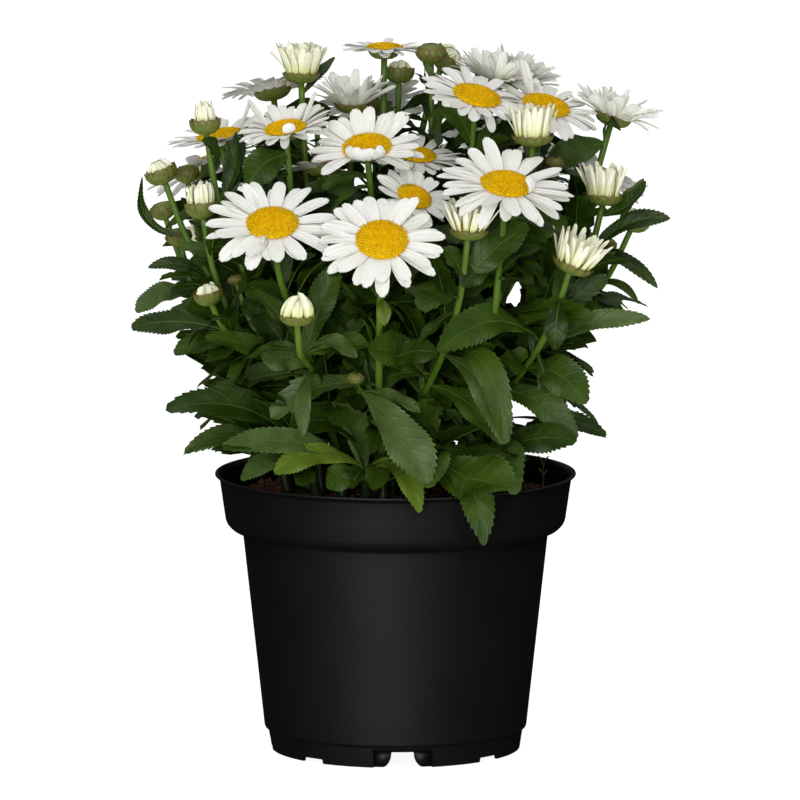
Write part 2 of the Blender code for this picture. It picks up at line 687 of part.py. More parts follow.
def turned(name, profile, sides, home, kind):
    """A Screw modifier turns a half outline about Z."""
    mesh = bpy.data.meshes.new(name)
    points = [(radius, 0, z) for radius, z in profile]
    mesh.from_pydata(points, [(i, i + 1) for i in range(len(points) - 1)], [])
    item = mesh_object(name, mesh, home, kind)
    screw = item.modifiers.new("turn", "SCREW")
    screw.steps = sides
    screw.render_steps = sides
    screw.use_merge_vertices = True
    screw.merge_threshold = 0.0001
    return item


def notch_cutters(home):
    """Boxes that open the foot ring: a tall notch at the front and at the back, and six shallow ones between."""
    cutters = []
    for width, height, turns in (LARGE_NOTCH, SMALL_NOTCH):
        across = 2 * FOOT_RADIUS * math.sin(math.radians(width / 2))
        for turn in turns:
            mesh = bpy.data.meshes.new("notch")
            form = bmesh.new()
            bmesh.ops.create_cube(form, size=1)
            bmesh.ops.scale(form, vec=(14 * MM, across, 2 * height), verts=form.verts)
            form.to_mesh(mesh)
            form.free()
            cutter = mesh_object(f"notch_{turn}", mesh, home)
            angle = math.radians(turn)
            cutter.location = ((FOOT_RADIUS - 1 * MM) * math.cos(angle), (FOOT_RADIUS - 1 * MM) * math.sin(angle), 0)
            cutter.rotation_euler = (0, 0, angle)
            cutter.hide_render = True
            cutter.display_type = "WIRE"
            cutters.append(cutter)
    return cutters


def make_pot(home, cutters):
    pot = turned("pot", pot_profile(), POT_SIDES, home, PLASTIC)
    cut = pot.modifiers.new("notches", "BOOLEAN")
    cut.operand_type = "COLLECTION"
    cut.collection = cutters
    cut.operation = "DIFFERENCE"
    notch_cutters(cutters)
    return pot


def make_compost(home):
    """The filling, clear of the wall all round, with a level top where the stems stand."""
    slope = (BAND_TOP_RADIUS - BAND_FOOT_RADIUS) / (POT_HEIGHT - BAND_FOOT_Z)
    edge = BAND_FOOT_RADIUS - 2.2 * POT_WALL + (COMPOST_EDGE - BAND_FOOT_Z) * slope
    profile = [
        (0, COMPOST_TOP),
        (PLATEAU_RADIUS, COMPOST_TOP),
        (PLATEAU_RADIUS + 12 * MM, COMPOST_EDGE + MM),
        (edge, COMPOST_EDGE),
        (BAND_FOOT_RADIUS - 2.3 * POT_WALL, BAND_FOOT_Z + GAP),
        (BODY_TOP_RADIUS - POT_WALL - 2 * GAP, SHOULDER_Z - MM),
        (BODY_FOOT_RADIUS - POT_WALL - 2 * GAP, STEP_Z + POT_WALL + GAP),
        (BODY_FOOT_RADIUS - 2 * POT_WALL - 2 * GAP, STEP_Z + GAP),
        (0, STEP_Z + GAP),
    ]
    return turned("compost", profile, COMPOST_SIDES, home, EARTH)


def make_stem(number, path, home):
    """A stalk as a curve: wide at its cut, then one even taper to the crown mass."""
    curve = bpy.data.curves.new(f"stem_{number:02d}", "CURVE")
    curve.dimensions = "3D"
    curve.bevel_depth = 1.0
    curve.bevel_resolution = 1
    curve.use_fill_caps = True
    line = curve.splines.new("POLY")
    line.points.add(len(path) - 1)
    radii = [STEM_FOOT_RADIUS, mix(STEM_FOOT_RADIUS, STEM_RADIUS, 0.65)]
    radii += list(np.linspace(STEM_RADIUS, STEM_TIP_RADIUS, len(path) - 2))
    for point, place, radius in zip(line.points, path, radii):
        point.co = (*place, 1)
        point.radius = radius
    return mesh_object(f"stem_{number:02d}", curve, home, STALK)


def fuse(name, pieces, home, kind):
    """One solid from many: the first piece united with a collection of the rest."""
    body = mesh_object(name, pieces[0], home, kind)
    store = collection(f"{name} pieces")
    for index, mesh in enumerate(pieces[1:]):
        mesh_object(f"{name} piece {index}", mesh, store)
    union = body.modifiers.new("union", "BOOLEAN")
    union.operand_type = "COLLECTION"
    union.collection = store
    union.operation = "UNION"
    union.solver = "MANIFOLD"
    bpy.context.view_layer.update()
    whole = bpy.data.meshes.new_from_object(body.evaluated_get(bpy.context.evaluated_depsgraph_get()))
    body.modifiers.clear()
    for item in list(store.objects):
        bpy.data.objects.remove(item, do_unlink=True)
    bpy.data.collections.remove(store)
    body.data = keep_outer_shell(whole)
    return body


def shell_volume(faces):
    return sum(
        face.verts[0].co.dot(face.verts[i].co.cross(face.verts[i + 1].co)) / 6
        for face in faces
        for i in range(1, len(face.verts) - 1)
    )


def keep_outer_shell(mesh):
    """The largest shell of a mesh, so a sealed hollow is filled and a loose scrap dropped."""
    form = bmesh.new()
    form.from_mesh(mesh)
    waiting = set(form.faces)
    shells = []
    while waiting:
        shell, edge = set(), [waiting.pop()]
        while edge:
            face = edge.pop()
            shell.add(face)
            near = {other for side in face.edges for other in side.link_faces if other in waiting}
            waiting -= near
            edge.extend(near)
        shells.append(shell)
    shells.sort(key=shell_volume)
    for shell in shells[:-1]:
        bmesh.ops.delete(form, geom=list(shell), context="FACES")
    form.to_mesh(mesh)
    form.free()
    return mesh


def make_crown(mass, leaves, home):
    pieces = []
    for twig in mass["twigs"]:
        neck = NECK_RADIUS * min(1, mix(0.6, 1, twig["head"]["size"] / CALYX_RADIUS))
        pieces.append(twig_mesh(twig["path"], twig["radius"], neck))
        pieces.append(head_mesh(twig["head"]))
    pieces.extend(leaf_mesh(leaf) for leaf in leaves)
    return fuse(mass["name"], pieces, home, FOLIAGE)


def make_tuft(tuft, leaves, home):
    path = np.linspace(tuft["foot"], tuft["top"], 3)
    path[0] = [*path[0][:2], tuft["foot"][2]]
    pieces = [flat_foot(twig_mesh(path, 3.4 * MM, 2.2 * MM, 6), tuft["foot"][2])]
    pieces.extend(leaf_mesh(leaf) for leaf in leaves)
    return fuse(tuft["name"], pieces, home, FOLIAGE)


def flat_foot(mesh, height):
    """Moves a short stem's lowest ring onto the level of the compost."""
    for vertex in list(mesh.vertices)[:6]:
        vertex.co.z = height
    return mesh


def main():
    clear_scene()
    home = collection("potted shasta daisy")
    cutters = collection("cutters")
    make_pot(home, cutters)
    make_compost(home)
    masses, tufts = plan_plant()
    grown = grow_leaves(masses, tufts)
    for number, mass in enumerate(masses, start=1):
        make_stem(number, mass["stem"], home)
        make_crown(mass, [leaf for name, leaf in grown if name == mass["name"]], home)
    for tuft in tufts:
        make_tuft(tuft, [leaf for name, leaf in grown if name == tuft["name"]], home)


main()
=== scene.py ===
# %% [markdown]
# A potted shasta daisy, dressed.
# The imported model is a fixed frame: a nursery pot, its compost, twenty-one stems, a crown mass on each of
# them and twelve low tufts between them, all as faceted solids. This lesson puts a fine surface in the
# place of each. Lengths are in metres, and the tables of places are in millimetres.

# %% Load the frame
import math

import bmesh
import bpy
import numpy as np
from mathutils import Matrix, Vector
from mathutils.kdtree import KDTree


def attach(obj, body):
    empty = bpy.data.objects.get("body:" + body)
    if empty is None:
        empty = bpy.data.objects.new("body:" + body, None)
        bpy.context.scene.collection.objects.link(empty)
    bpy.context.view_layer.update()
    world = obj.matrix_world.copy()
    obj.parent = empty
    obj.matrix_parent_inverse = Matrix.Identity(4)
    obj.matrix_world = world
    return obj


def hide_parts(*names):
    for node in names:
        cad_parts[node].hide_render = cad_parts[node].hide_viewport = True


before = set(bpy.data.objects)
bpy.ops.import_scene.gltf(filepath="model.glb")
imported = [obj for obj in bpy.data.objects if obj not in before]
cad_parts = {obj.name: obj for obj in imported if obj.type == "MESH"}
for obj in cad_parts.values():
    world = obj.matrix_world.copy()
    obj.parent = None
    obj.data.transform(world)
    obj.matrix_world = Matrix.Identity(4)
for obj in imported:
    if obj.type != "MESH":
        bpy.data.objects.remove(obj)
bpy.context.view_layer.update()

MM = 0.001
CROWNS = sorted(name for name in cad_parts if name.startswith("crown"))
TUFTS = sorted(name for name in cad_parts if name.startswith("tuft"))
STEMS = sorted(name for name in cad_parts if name.startswith("stem"))

# %% [markdown]
# The camera stands five metres off and a little above the plant, and looks through a long lens, as for a
# catalogue: the pot's rim is a thin ellipse and no upright line leans. The same numbers, read backwards,
# turn a place in the 800 pixel picture and a chosen depth into a place on the plant.

# %% Camera
CAMERA_PLACE = np.array([2.4, -5000.0, 889.0]) * MM
CAMERA_AIM = np.array([2.4, 0.0, 186.5]) * MM
LENS = 428.1
SENSOR = 36.0
PICTURE = 800
LOOK = (CAMERA_AIM - CAMERA_PLACE) / np.linalg.norm(CAMERA_AIM - CAMERA_PLACE)
PICTURE_UP = np.cross([1.0, 0.0, 0.0], LOOK)
FOCAL = PICTURE * LENS / SENSOR

camera = bpy.data.objects.new("camera", bpy.data.cameras.new("camera"))
camera.data.lens = LENS
camera.data.sensor_width = SENSOR
camera.data.clip_end = 100
camera.location = CAMERA_PLACE
camera.rotation_euler = Vector(LOOK).to_track_quat("-Z", "Y").to_euler()
bpy.context.scene.collection.objects.link(camera)
bpy.context.scene.camera = camera


def from_picture(px, py, depth):
    """The point seen at pixel (px, py) on the upright plane y = depth, with the depth in millimetres."""
    ray = LOOK * FOCAL + np.array([px - PICTURE / 2, 0, 0]) + PICTURE_UP * (PICTURE / 2 - py)
    return CAMERA_PLACE + ray * (depth * MM - CAMERA_PLACE[1]) / ray[1]


def to_picture(points):
    """The pixels at which points are seen: offsets across and up, over the depth, times the focal length."""
    away = points - CAMERA_PLACE
    scale = FOCAL / (away @ LOOK)
    return np.stack([PICTURE / 2 + away[..., 0] * scale, PICTURE / 2 - (away @ PICTURE_UP) * scale], axis=-1)


print("the rim spans pixels", np.round(to_picture(np.array([[-0.095, 0, 0.148], [0.095, 0, 0.148]]))[:, 0]))

# %% [markdown]
# Almost every part of a daisy is one small surface repeated: a leaf, a ray, a floret, a bract. Each is a
# grid of points, and a whole kind of part is one array of grids, which a single helper joins into one mesh.
# Points that fall together, at a tip or a pole, are merged afterwards, and that closes the surface there.
# Each point also keeps its place in its grid, across and along, and veins and edges are drawn on these.

# %% Grids into meshes
WELD = 1e-6


def unit(vector):
    """A vector over its own length."""
    return vector / np.linalg.norm(vector, axis=-1, keepdims=True)


def mix(a, b, share):
    """The value at a share of the way from a to b."""
    return a + (b - a) * share


def turned(one, other, angle):
    """One direction, turned by angles in radians towards another that is square to it."""
    return np.cos(angle)[..., None] * one + np.sin(angle)[..., None] * other


def full_turn(count):
    """Even angles round a circle, in radians."""
    return np.arange(count) * 2 * math.pi / count


def revolve(radius, turns, height):
    """Points round the upright axis: x = radius cos turn, y = radius sin turn, z = height."""
    return np.stack(np.broadcast_arrays(radius * np.cos(turns), radius * np.sin(turns), height), axis=-1)


def mesh_piece(name, points, faces, material, nodes, places):
    """A smooth object from an array of points and an array of equal faces, tied to the frame."""
    mesh = bpy.data.meshes.new(name)
    mesh.vertices.add(len(points))
    mesh.vertices.foreach_set("co", points.astype(np.float32).ravel())
    mesh.loops.add(faces.size)
    mesh.loops.foreach_set("vertex_index", faces.astype(np.int32).ravel())
    mesh.polygons.add(len(faces))
    mesh.polygons.foreach_set("loop_start", np.arange(0, faces.size, faces.shape[1], dtype=np.int32))
    mesh.update(calc_edges=True)
    mesh.uv_layers.new(name="grid").uv.foreach_set("vector", places[faces.ravel()].astype(np.float32).ravel())
    form = bmesh.new()
    form.from_mesh(mesh)
    bmesh.ops.remove_doubles(form, verts=form.verts, dist=WELD)
    form.to_mesh(mesh)
    form.free()
    mesh.shade_smooth()
    mesh.materials.append(material)
    piece = bpy.data.objects.new(name, mesh)
    bpy.context.scene.collection.objects.link(piece)
    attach(piece, "root")
    if nodes:
        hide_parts(*nodes)
    print(f"{name}: {len(mesh.loops) - 2 * len(mesh.polygons)} triangles")
    return piece


def grid_piece(name, grids, material, nodes=(), closed=False):
    """One mesh from N grids of U rows by V columns; closed joins the last column to the first."""
    grids = np.concatenate([g.reshape(-1, *g.shape[-3:]) for g in grids]) if isinstance(grids, list) else grids
    count, rows, columns = grids.shape[:3]
    bands = columns if closed else columns - 1
    row, column = np.meshgrid(np.arange(rows - 1), np.arange(bands), indexing="ij")
    beside = (column + 1) % columns
    here, above = row * columns, (row + 1) * columns
    square = np.stack([here + column, here + beside, above + beside, above + column], axis=-1).reshape(-1, 4)
    faces = (square[None] + np.arange(count)[:, None, None] * rows * columns).reshape(-1, 4)
    along, over = np.meshgrid(np.linspace(0, 1, rows), np.linspace(0, 1, columns), indexing="ij")
    places = np.tile(np.stack([over.ravel(), along.ravel()], axis=-1), (count, 1))
    return mesh_piece(name, grids.reshape(-1, 3), faces, material, nodes, places)


# %% [markdown]
# Plant tissue, earth and plastic never have one flat colour. Each finish is a Principled shader whose
# colour wanders between two tones over patches of a stated size, with a finer mottling on top and a bump as
# fine as the surface's own grain. All of it reads Object coordinates, so it stays where it is from every
# side. Veins, grooves and pale margins follow the surface, so they are drawn on the grid's own two
# coordinates.


# %% Finishes
def add_node(tree, kind, sockets, values=None, **settings):
    """A new shader node: its settings, the values of its inputs, and the sockets that feed the others."""
    node = tree.nodes.new(f"ShaderNode{kind}")
    for name, value in settings.items():
        setattr(node, name, value)
    for name, value in (values or {}).items():
        node.inputs[name].default_value = value
    for name, socket in sockets.items():
        tree.links.new(socket, node.inputs[name])
    return node


def noise(tree, place, size, detail):
    """Noise with patches of a size in mm."""
    values = {"Scale": 1 / (size * MM), "Detail": detail}
    return add_node(tree, "TexNoise", {"Vector": place}, values).outputs["Fac"]


def paint(tree, mask, tone):
    """Mixes one more tone into the base colour by a mask."""
    base = tree.nodes["Principled BSDF"].inputs["Base Color"]
    sockets = {0: mask, 6: base.links[0].from_socket}
    blend = add_node(tree, "Mix", sockets, {7: (*tone, 1)}, data_type="RGBA")
    tree.links.new(blend.outputs[2], base)


def emboss(tree, relief, depth):
    """Raises the surface by a depth in mm times the relief, over the bump that it may have."""
    normal = tree.nodes["Principled BSDF"].inputs["Normal"]
    sockets = {"Height": relief}
    if normal.is_linked:
        sockets["Normal"] = normal.links[0].from_socket
    bump = add_node(tree, "Bump", sockets, {"Strength": 1.0, "Distance": depth * MM})
    tree.links.new(bump.outputs["Normal"], normal)


def finish(name, dark, light, patch, roughness, bump=0.0, grain=0.5, mottle=0.25, stretch=(1, 1, 1), **more):
    """Principled material: noise over patches mixes two tones, finer noise mottles, and the grain is raised."""
    material = bpy.data.materials.new(name)
    material.use_nodes = True
    tree = material.node_tree
    shader = tree.nodes["Principled BSDF"]
    for socket, value in dict(Roughness=roughness, **more).items():
        shader.inputs[socket.replace("_", " ")].default_value = value
    place = add_node(tree, "TexCoord", {}).outputs["Object"]
    place = add_node(tree, "Mapping", {"Vector": place}, {"Scale": stretch}).outputs["Vector"]
    broad, fine = noise(tree, place, patch, 3), noise(tree, place, grain * 3, 2)
    blend = add_node(tree, "Math", {0: fine, 2: broad}, {1: mottle}, operation="MULTIPLY_ADD")
    ramp = add_node(tree, "ValToRGB", {"Fac": blend.outputs["Value"]})
    for stop, share, tone in zip(ramp.color_ramp.elements, (0.30, 0.70), (dark, light)):
        stop.position = share + mottle / 2
        stop.color = (*tone, 1)
    tree.links.new(ramp.outputs["Color"], shader.inputs["Base Color"])
    if bump:
        emboss(tree, noise(tree, place, grain, 3), bump)
    return material


def drawn(material, along, across, slant, sharp, depth, ridge, edge, start, foot=(0, 0, 0, 0)):
    """Adds to a finish: raised ridges in one colour, and others towards the sides and the foot of the grid.

    A ridge stands wherever along times v, plus across times u, plus slant times the distance from the middle
    line, is halfway between whole numbers. The edge's colour starts at a share of the way out, and the foot's
    ends just before the middle. Each colour is red, green, blue and how much of it is mixed in.
    """
    tree = material.node_tree
    grid = add_node(tree, "UVMap", {}, uv_map="grid").outputs["UV"]
    u, v = add_node(tree, "SeparateXYZ", {"Vector": grid}).outputs[:2]

    def step(operation, *given):
        values = {number: value for number, value in enumerate(given) if isinstance(value, (int, float))}
        sockets = {number: value for number, value in enumerate(given) if number not in values}
        return add_node(tree, "Math", sockets, values, operation=operation).outputs[0]

    aside = step("ABSOLUTE", step("MULTIPLY_ADD", u, 2.0, -1.0))
    count = step("MULTIPLY_ADD", v, along, step("MULTIPLY", aside, slant))
    count = step("MULTIPLY_ADD", u, across, count)
    height = step("POWER", step("MULTIPLY", step("PINGPONG", count, 0.5), 2.0), sharp)
    rim = step("MAXIMUM", step("MULTIPLY_ADD", aside, 1 / (1 - start), -start / (1 - start)), 0.0)
    rim = step("SMOOTH_MIN", rim, 1.0, 0.1)
    base = step("MAXIMUM", step("MULTIPLY_ADD", v, -2.2, 1.0), 0.0)
    for mask, (*tone, amount) in ((height, ridge), (rim, edge), (base, foot)):
        paint(tree, step("MULTIPLY", mask, amount), tone)
    emboss(tree, height, depth)
    return material


def painted_foot_shade(material, low, high, tone):
    """Adds to a finish painted shade: a darker tone, full at a low height in mm and gone at a high one."""
    tree = material.node_tree
    place = add_node(tree, "TexCoord", {}).outputs["Object"]
    height = add_node(tree, "SeparateXYZ", {"Vector": place}).outputs["Z"]
    fade = add_node(tree, "MapRange", {"Value": height}, {"From Min": high * MM, "From Max": low * MM})
    paint(tree, fade.outputs["Result"], tone)


# %% [markdown]
# The plant is grown by rule. The driving sizes are the frame's own, so that a fine part falls where its
# solid stands: feet spread over the compost, stems that lean to the heads they carry, and forks above them.

# %% Sizes of the plant
GAP = 0.3 * MM
SEED = 19
POT_HEIGHT = 148 * MM
LIP_RADIUS = 96 * MM
BAND_TOP_RADIUS = 93.6 * MM
COMPOST_TOP = 139 * MM
COMPOST_EDGE = 135 * MM
PLATEAU_RADIUS = 68 * MM
STEM_FOOT_RADIUS = 4.4 * MM
STEM_RADIUS = 2.7 * MM
STEM_TIP_RADIUS = 2.2 * MM
STEM_RISE = 44 * MM
FLARE_HEIGHT = 6 * MM
END_RUN = 5 * MM
FOOT_SPREAD = 0.50
FOOT_LIMIT = 56 * MM
FOOT_SPACING = 15.5 * MM
FIRST_FORK = 10 * MM
FORK_STEP = 12 * MM
TWIG_STEPS = 4
# How far from the pot's axis the rule lets a leaf reach at each height, both in millimetres.
REACH_HEIGHTS = (140, 160, 190, 215, 240, 300, 330, 374)
REACHES = (101, 106, 116, 126, 134, 132, 122, 90)
LOW_LEAF_Z = 150 * MM
HIGH_LEAF_Z = 325 * MM
LOW_LEAF = 78 * MM
HIGH_LEAF = 34 * MM
LEAF_ASPECT = 0.30
LEAF_EXTRA_WIDTH = 2.5 * MM
LEAF_SPACING = 27 * MM
HEART_RADIUS = 48 * MM
LEAF_STALK = 1.7 * MM
BARE_NECK = 22 * MM
GOLDEN_ANGLE = 137.508
LEAF_RISE = 26
RISE_SPREAD = 26
LEAF_FACING = 0.8
ROLL_SPREAD = 0.5
LEAF_MARGIN = 1.4 * MM
NEIGHBOUR_MARGIN = 3 * MM
SISTER_MARGIN = 3.5 * MM
HEAD_MARGIN = 2 * MM
LIMB_MARGIN = 4.5 * MM
TUFT_COUNT = 12
TUFT_RING = 57 * MM
TUFT_START = 165
TUFT_LEAN = 14
TUFT_STEM_RISE = 20 * MM
TUFT_LEAF = 76 * MM
TUFT_LEAVES = 8
TUFT_FAN = 62
TUFT_RIB = 80 * MM
CALYX_RADIUS = 9 * MM
CALYX_DEPTH = 7 * MM
NECK_HANDLE = 0.32
LEADER_HANDLE = 0.28
STEM_RING = 44 * MM

# %% [markdown]
# Every flower head is one row: the crown mass that carries it, its kind, where the middle of its disc is,
# how far it leans from upright and to which compass angle, and the radius of its rays or of its bud. A
# daisy's heads open one after the other, so the kinds are the ages of one flower: bud, opening, brush,
# flared and open.

# %% Flower heads
HEADS = (
    (1, "opening", (-102, -35, 294), 6, 180, 8.0),
    (1, "opening", (-100, -26, 337), 4, 180, 7.5),
    (1, "opening", (-98, -56, 250), 14, 200, 7.0),
    (2, "opening", (-124, 0, 308), 22, 180, 8.0),
    (2, "bud", (-115, 10, 273), 8, 170, 6.5),
    (3, "open", (-93, 14, 326), 10, 200, 28.0),
    (3, "bud", (-111, 24, 305), 5, 170, 6.3),
    (4, "open", (-64, -84, 291), 29, -92, 34.0),
    (4, "opening", (-51, -108, 246), 4, -90, 9.0),
    (4, "bud", (-84, -38, 256), 10, 200, 3.6),
    (5, "open", (-7, -106, 285), 40, -87, 32.0),
    (5, "bud", (-21, -76, 209), 10, -90, 4.0),
    (6, "brush", (38, -84, 288), 6, -60, 10.0),
    (6, "open", (10, -50, 301), 36, -56, 21.0),
    (7, "open", (-58, -22, 334), 14, -124, 25.0),
    (7, "open", (-38, 3, 312), 14, 130, 24.0),
    (7, "bud", (-42, 38, 335), 4, 90, 5.5),
    (8, "open", (-15, -32, 325), 25, -100, 29.0),
    (8, "open", (11, 4, 317), 16, -60, 24.0),
    (9, "flared", (-50, 25, 358), 2, 90, 17.0),
    (9, "open", (-66, 62, 346), 18, 131, 28.0),
    (10, "flared", (-23, 36, 341), 3, -90, 17.0),
    (10, "open", (-6, 52, 369), 2, 90, 22.0),
    (11, "open", (43, -4, 349), 22, -51, 29.0),
    (11, "bud", (19, 38, 368), 5, -90, 7.4),
    (12, "open", (58, -80, 311), 22, -72, 35.0),
    (12, "brush", (72, -40, 332), 3, -90, 10.6),
    (13, "brush", (93, -58, 267), 24, -20, 11.0),
    (13, "brush", (110, -10, 297), 4, 0, 10.5),
    (14, "open", (80, 22, 341), 22, -50, 29.0),
    (14, "bud", (84, 4, 313), 12, -60, 4.5),
    (15, "flared", (116, 42, 333), 18, 10, 21.0),
    (15, "bud", (113, 20, 268), 20, 0, 4.2),
    (16, "flared", (52, 46, 353), 14, 0, 18.0),
    (16, "flared", (66, 76, 350), 20, 10, 19.0),
    (16, "opening", (28, 76, 360), 50, 0, 9.0),
    (17, "open", (-12, 100, 334), 24, 100, 32.0),
    (17, "opening", (2, 70, 354), 8, 80, 7.5),
    (17, "bud", (-20, 130, 262), 20, 95, 6.5),
    (18, "open", (52, 116, 312), 30, 70, 33.0),
    (18, "bud", (74, 128, 266), 20, 60, 6.0),
    (19, "open", (106, 86, 298), 34, 40, 31.0),
    (19, "opening", (128, 52, 276), 24, 20, 7.5),
    (20, "open", (-104, 72, 303), 28, 145, 31.0),
    (20, "bud", (-124, 36, 284), 16, 165, 6.5),
    (21, "open", (-58, 112, 290), 32, 115, 32.0),
    (21, "brush", (-100, 100, 256), 24, 140, 10.0),
)
MASS_COUNT = 21


def facing(lean, towards):
    """Unit vector that leans from upright towards a compass angle, both in degrees."""
    lean, towards = math.radians(lean), math.radians(towards)
    return np.array([math.sin(lean) * math.cos(towards), math.sin(lean) * math.sin(towards), math.cos(lean)])


heads = [dict(mass=mass, kind=kind, at=np.array(place) * MM, axis=facing(lean, towards), size=size * MM)
         for mass, kind, place, lean, towards, size in HEADS]
for number, head in enumerate(heads):
    alike = [other["kind"] for other in heads[:number] if other["mass"] == head["mass"]]
    head["key"] = (head["mass"], alike.count(head["kind"]))
    head["across"] = unit(np.cross(head["axis"], [0.0, 1.0, 0.3]))
    head["beside"] = np.cross(head["axis"], head["across"])
KINDS = ("bud", "opening", "brush", "flared", "open")
print({kind: sum(head["kind"] == kind for head in heads) for kind in KINDS})


def spokes(head, turn):
    """Unit vectors square to a head's axis, at turns about it in radians."""
    return turned(head["across"], head["beside"], turn)


def on_head(head, radius, turn, height):
    """Points round a head's axis from arrays of radius, turn and height."""
    return head["at"] + radius[..., None] * spokes(head, turn) + height[..., None] * head["axis"]


def disc_radius(head):
    """The disc of an open head takes a fixed share of it, and none is wider than 27 mm."""
    return min(13.5 * MM, head["size"] * (0.44 if head["kind"] == "open" else 0.62))


# %% [markdown]
# A stem starts from a flared foot, leans towards the middle of the heads above it and ends where its crown
# mass begins. There one short stem forks: the leader runs to the highest head, and each further twig leaves
# it a little higher than the last. All these lines are cubic curves between two places, with a handle at
# each.


# %% Stems and forks
def bezier(start, leave, arrive, end, steps):
    """Points of the cubic curve from start to end that leaves and arrives along the two handles."""
    t = np.linspace(0, 1, steps + 1)[:, None]
    return (1 - t) ** 3 * start + 3 * t * (1 - t) ** 2 * leave + 3 * t**2 * (1 - t) * arrive + t**3 * end


def arc_length(path):
    """The way from the path's start to each of its points."""
    return np.concatenate([[0], np.cumsum(np.linalg.norm(np.diff(path, axis=0), axis=1))])


def point_along(path, distance):
    """The point of a path at a distance from its start."""
    lengths = arc_length(path)
    return np.array([np.interp(distance, lengths, path[:, axis]) for axis in range(3)])


def spread_feet(feet):
    """Feet pushed apart until they stand FOOT_SPACING from each other, inside the level of the compost."""
    for _ in range(400):
        apart = feet[:, None] - feet[None]
        distance = np.linalg.norm(apart, axis=2) + np.eye(len(feet))
        push = np.clip(FOOT_SPACING - distance, 0, None) * (1 - np.eye(len(feet)))
        feet = feet + 0.25 * (apart / distance[:, :, None] * push[:, :, None]).sum(axis=1)
        radius = np.linalg.norm(feet, axis=1, keepdims=True)
        feet = feet * np.minimum(1, (FOOT_LIMIT + 4 * MM) / np.maximum(radius, MM))
    return feet


def fork_twigs(start, heading, carried):
    """The leader runs to the highest head; each further twig leaves it a little higher than the last."""
    twigs = []
    for order, head in enumerate(carried):
        seat = head["at"] - head["axis"] * CALYX_DEPTH * min(1, head["size"] / CALYX_RADIUS) * 0.6
        if order == 0:
            foot, leave, steps = start, heading, TWIG_STEPS + 1
        else:
            foot = point_along(twigs[0]["path"], FIRST_FORK + (order - 1) * FORK_STEP)
            sideways = (seat - foot) * [1, 1, 0]
            leave = unit(heading + 0.8 * sideways / max(np.linalg.norm(sideways), 20 * MM))
            steps = TWIG_STEPS
        reach = np.linalg.norm(seat - foot)
        arrive = seat - unit(head["axis"] * 0.8 + np.array([0, 0, 0.5])) * reach * NECK_HANDLE
        bend = foot + leave * END_RUN
        path = bezier(bend, bend + leave * reach * LEADER_HANDLE, arrive, seat, steps - 1)
        twigs.append(dict(path=np.concatenate([[foot], path]), head=head))
    return twigs


def plan_plant():
    """For each crown mass its stem's path and its twigs, and for each tuft its foot, top and direction."""
    carried = [[head for head in heads if head["mass"] == number + 1] for number in range(MASS_COUNT)]
    centres = np.array([np.mean([head["at"] for head in group], axis=0) for group in carried])
    wanted = centres[:, :2] * FOOT_SPREAD
    radius = np.linalg.norm(wanted, axis=1, keepdims=True)
    wanted = wanted * np.minimum(1, STEM_RING / np.maximum(radius, MM))
    angles = np.radians(np.arange(TUFT_COUNT) * 360 / TUFT_COUNT + TUFT_START)
    ring = TUFT_RING * np.stack([np.cos(angles), np.sin(angles)], axis=1)
    feet = spread_feet(np.concatenate([wanted, ring]))
    ground = COMPOST_TOP + GAP
    masses = []
    for number, (foot, centre) in enumerate(zip(feet, centres), start=1):
        foot = np.array([*foot, ground])
        lean = centre - foot
        tip = foot + np.array([lean[0] * 0.20, lean[1] * 0.20, STEM_RISE])
        heading = unit(np.array([lean[0], lean[1], lean[2] * 1.5]))
        flare = foot + np.array([0, 0, FLARE_HEIGHT])
        bend = tip - heading * END_RUN
        stem = bezier(flare, flare + [0, 0, STEM_RISE * 0.35], bend - heading * STEM_RISE * 0.25, bend, 2)
        stem = np.concatenate([[foot, foot + [0, 0, FLARE_HEIGHT * 0.4]], stem, [tip]])
        highest_first = sorted(carried[number - 1], key=lambda head: -head["at"][2])
        twigs = fork_twigs(tip + heading * GAP, heading, highest_first)
        masses.append(dict(name=f"crown_{number:02d}", stem=stem, twigs=twigs))
    tufts = []
    for number, foot in enumerate(feet[MASS_COUNT:], start=1):
        foot = np.array([*foot, ground])
        outward = math.degrees(math.atan2(foot[1], foot[0]))
        top = foot + facing(TUFT_LEAN, outward) * TUFT_STEM_RISE
        tufts.append(dict(name=f"tuft_{number:02d}", foot=foot, top=top, outward=outward))
    return masses, tufts


masses, tufts = plan_plant()
print(len(masses), "stems,", sum(len(mass["twigs"]) for mass in masses), "twigs and", len(tufts), "tufts")

# %% [markdown]
# A leaf is a middle line, curved as a quadratic between its root and its tip, with a width across it. The
# blade may be rolled about that line. The outline of the plant hangs on a few leaves that stand out of it,
# so their tips are given; the rest follow the rule.

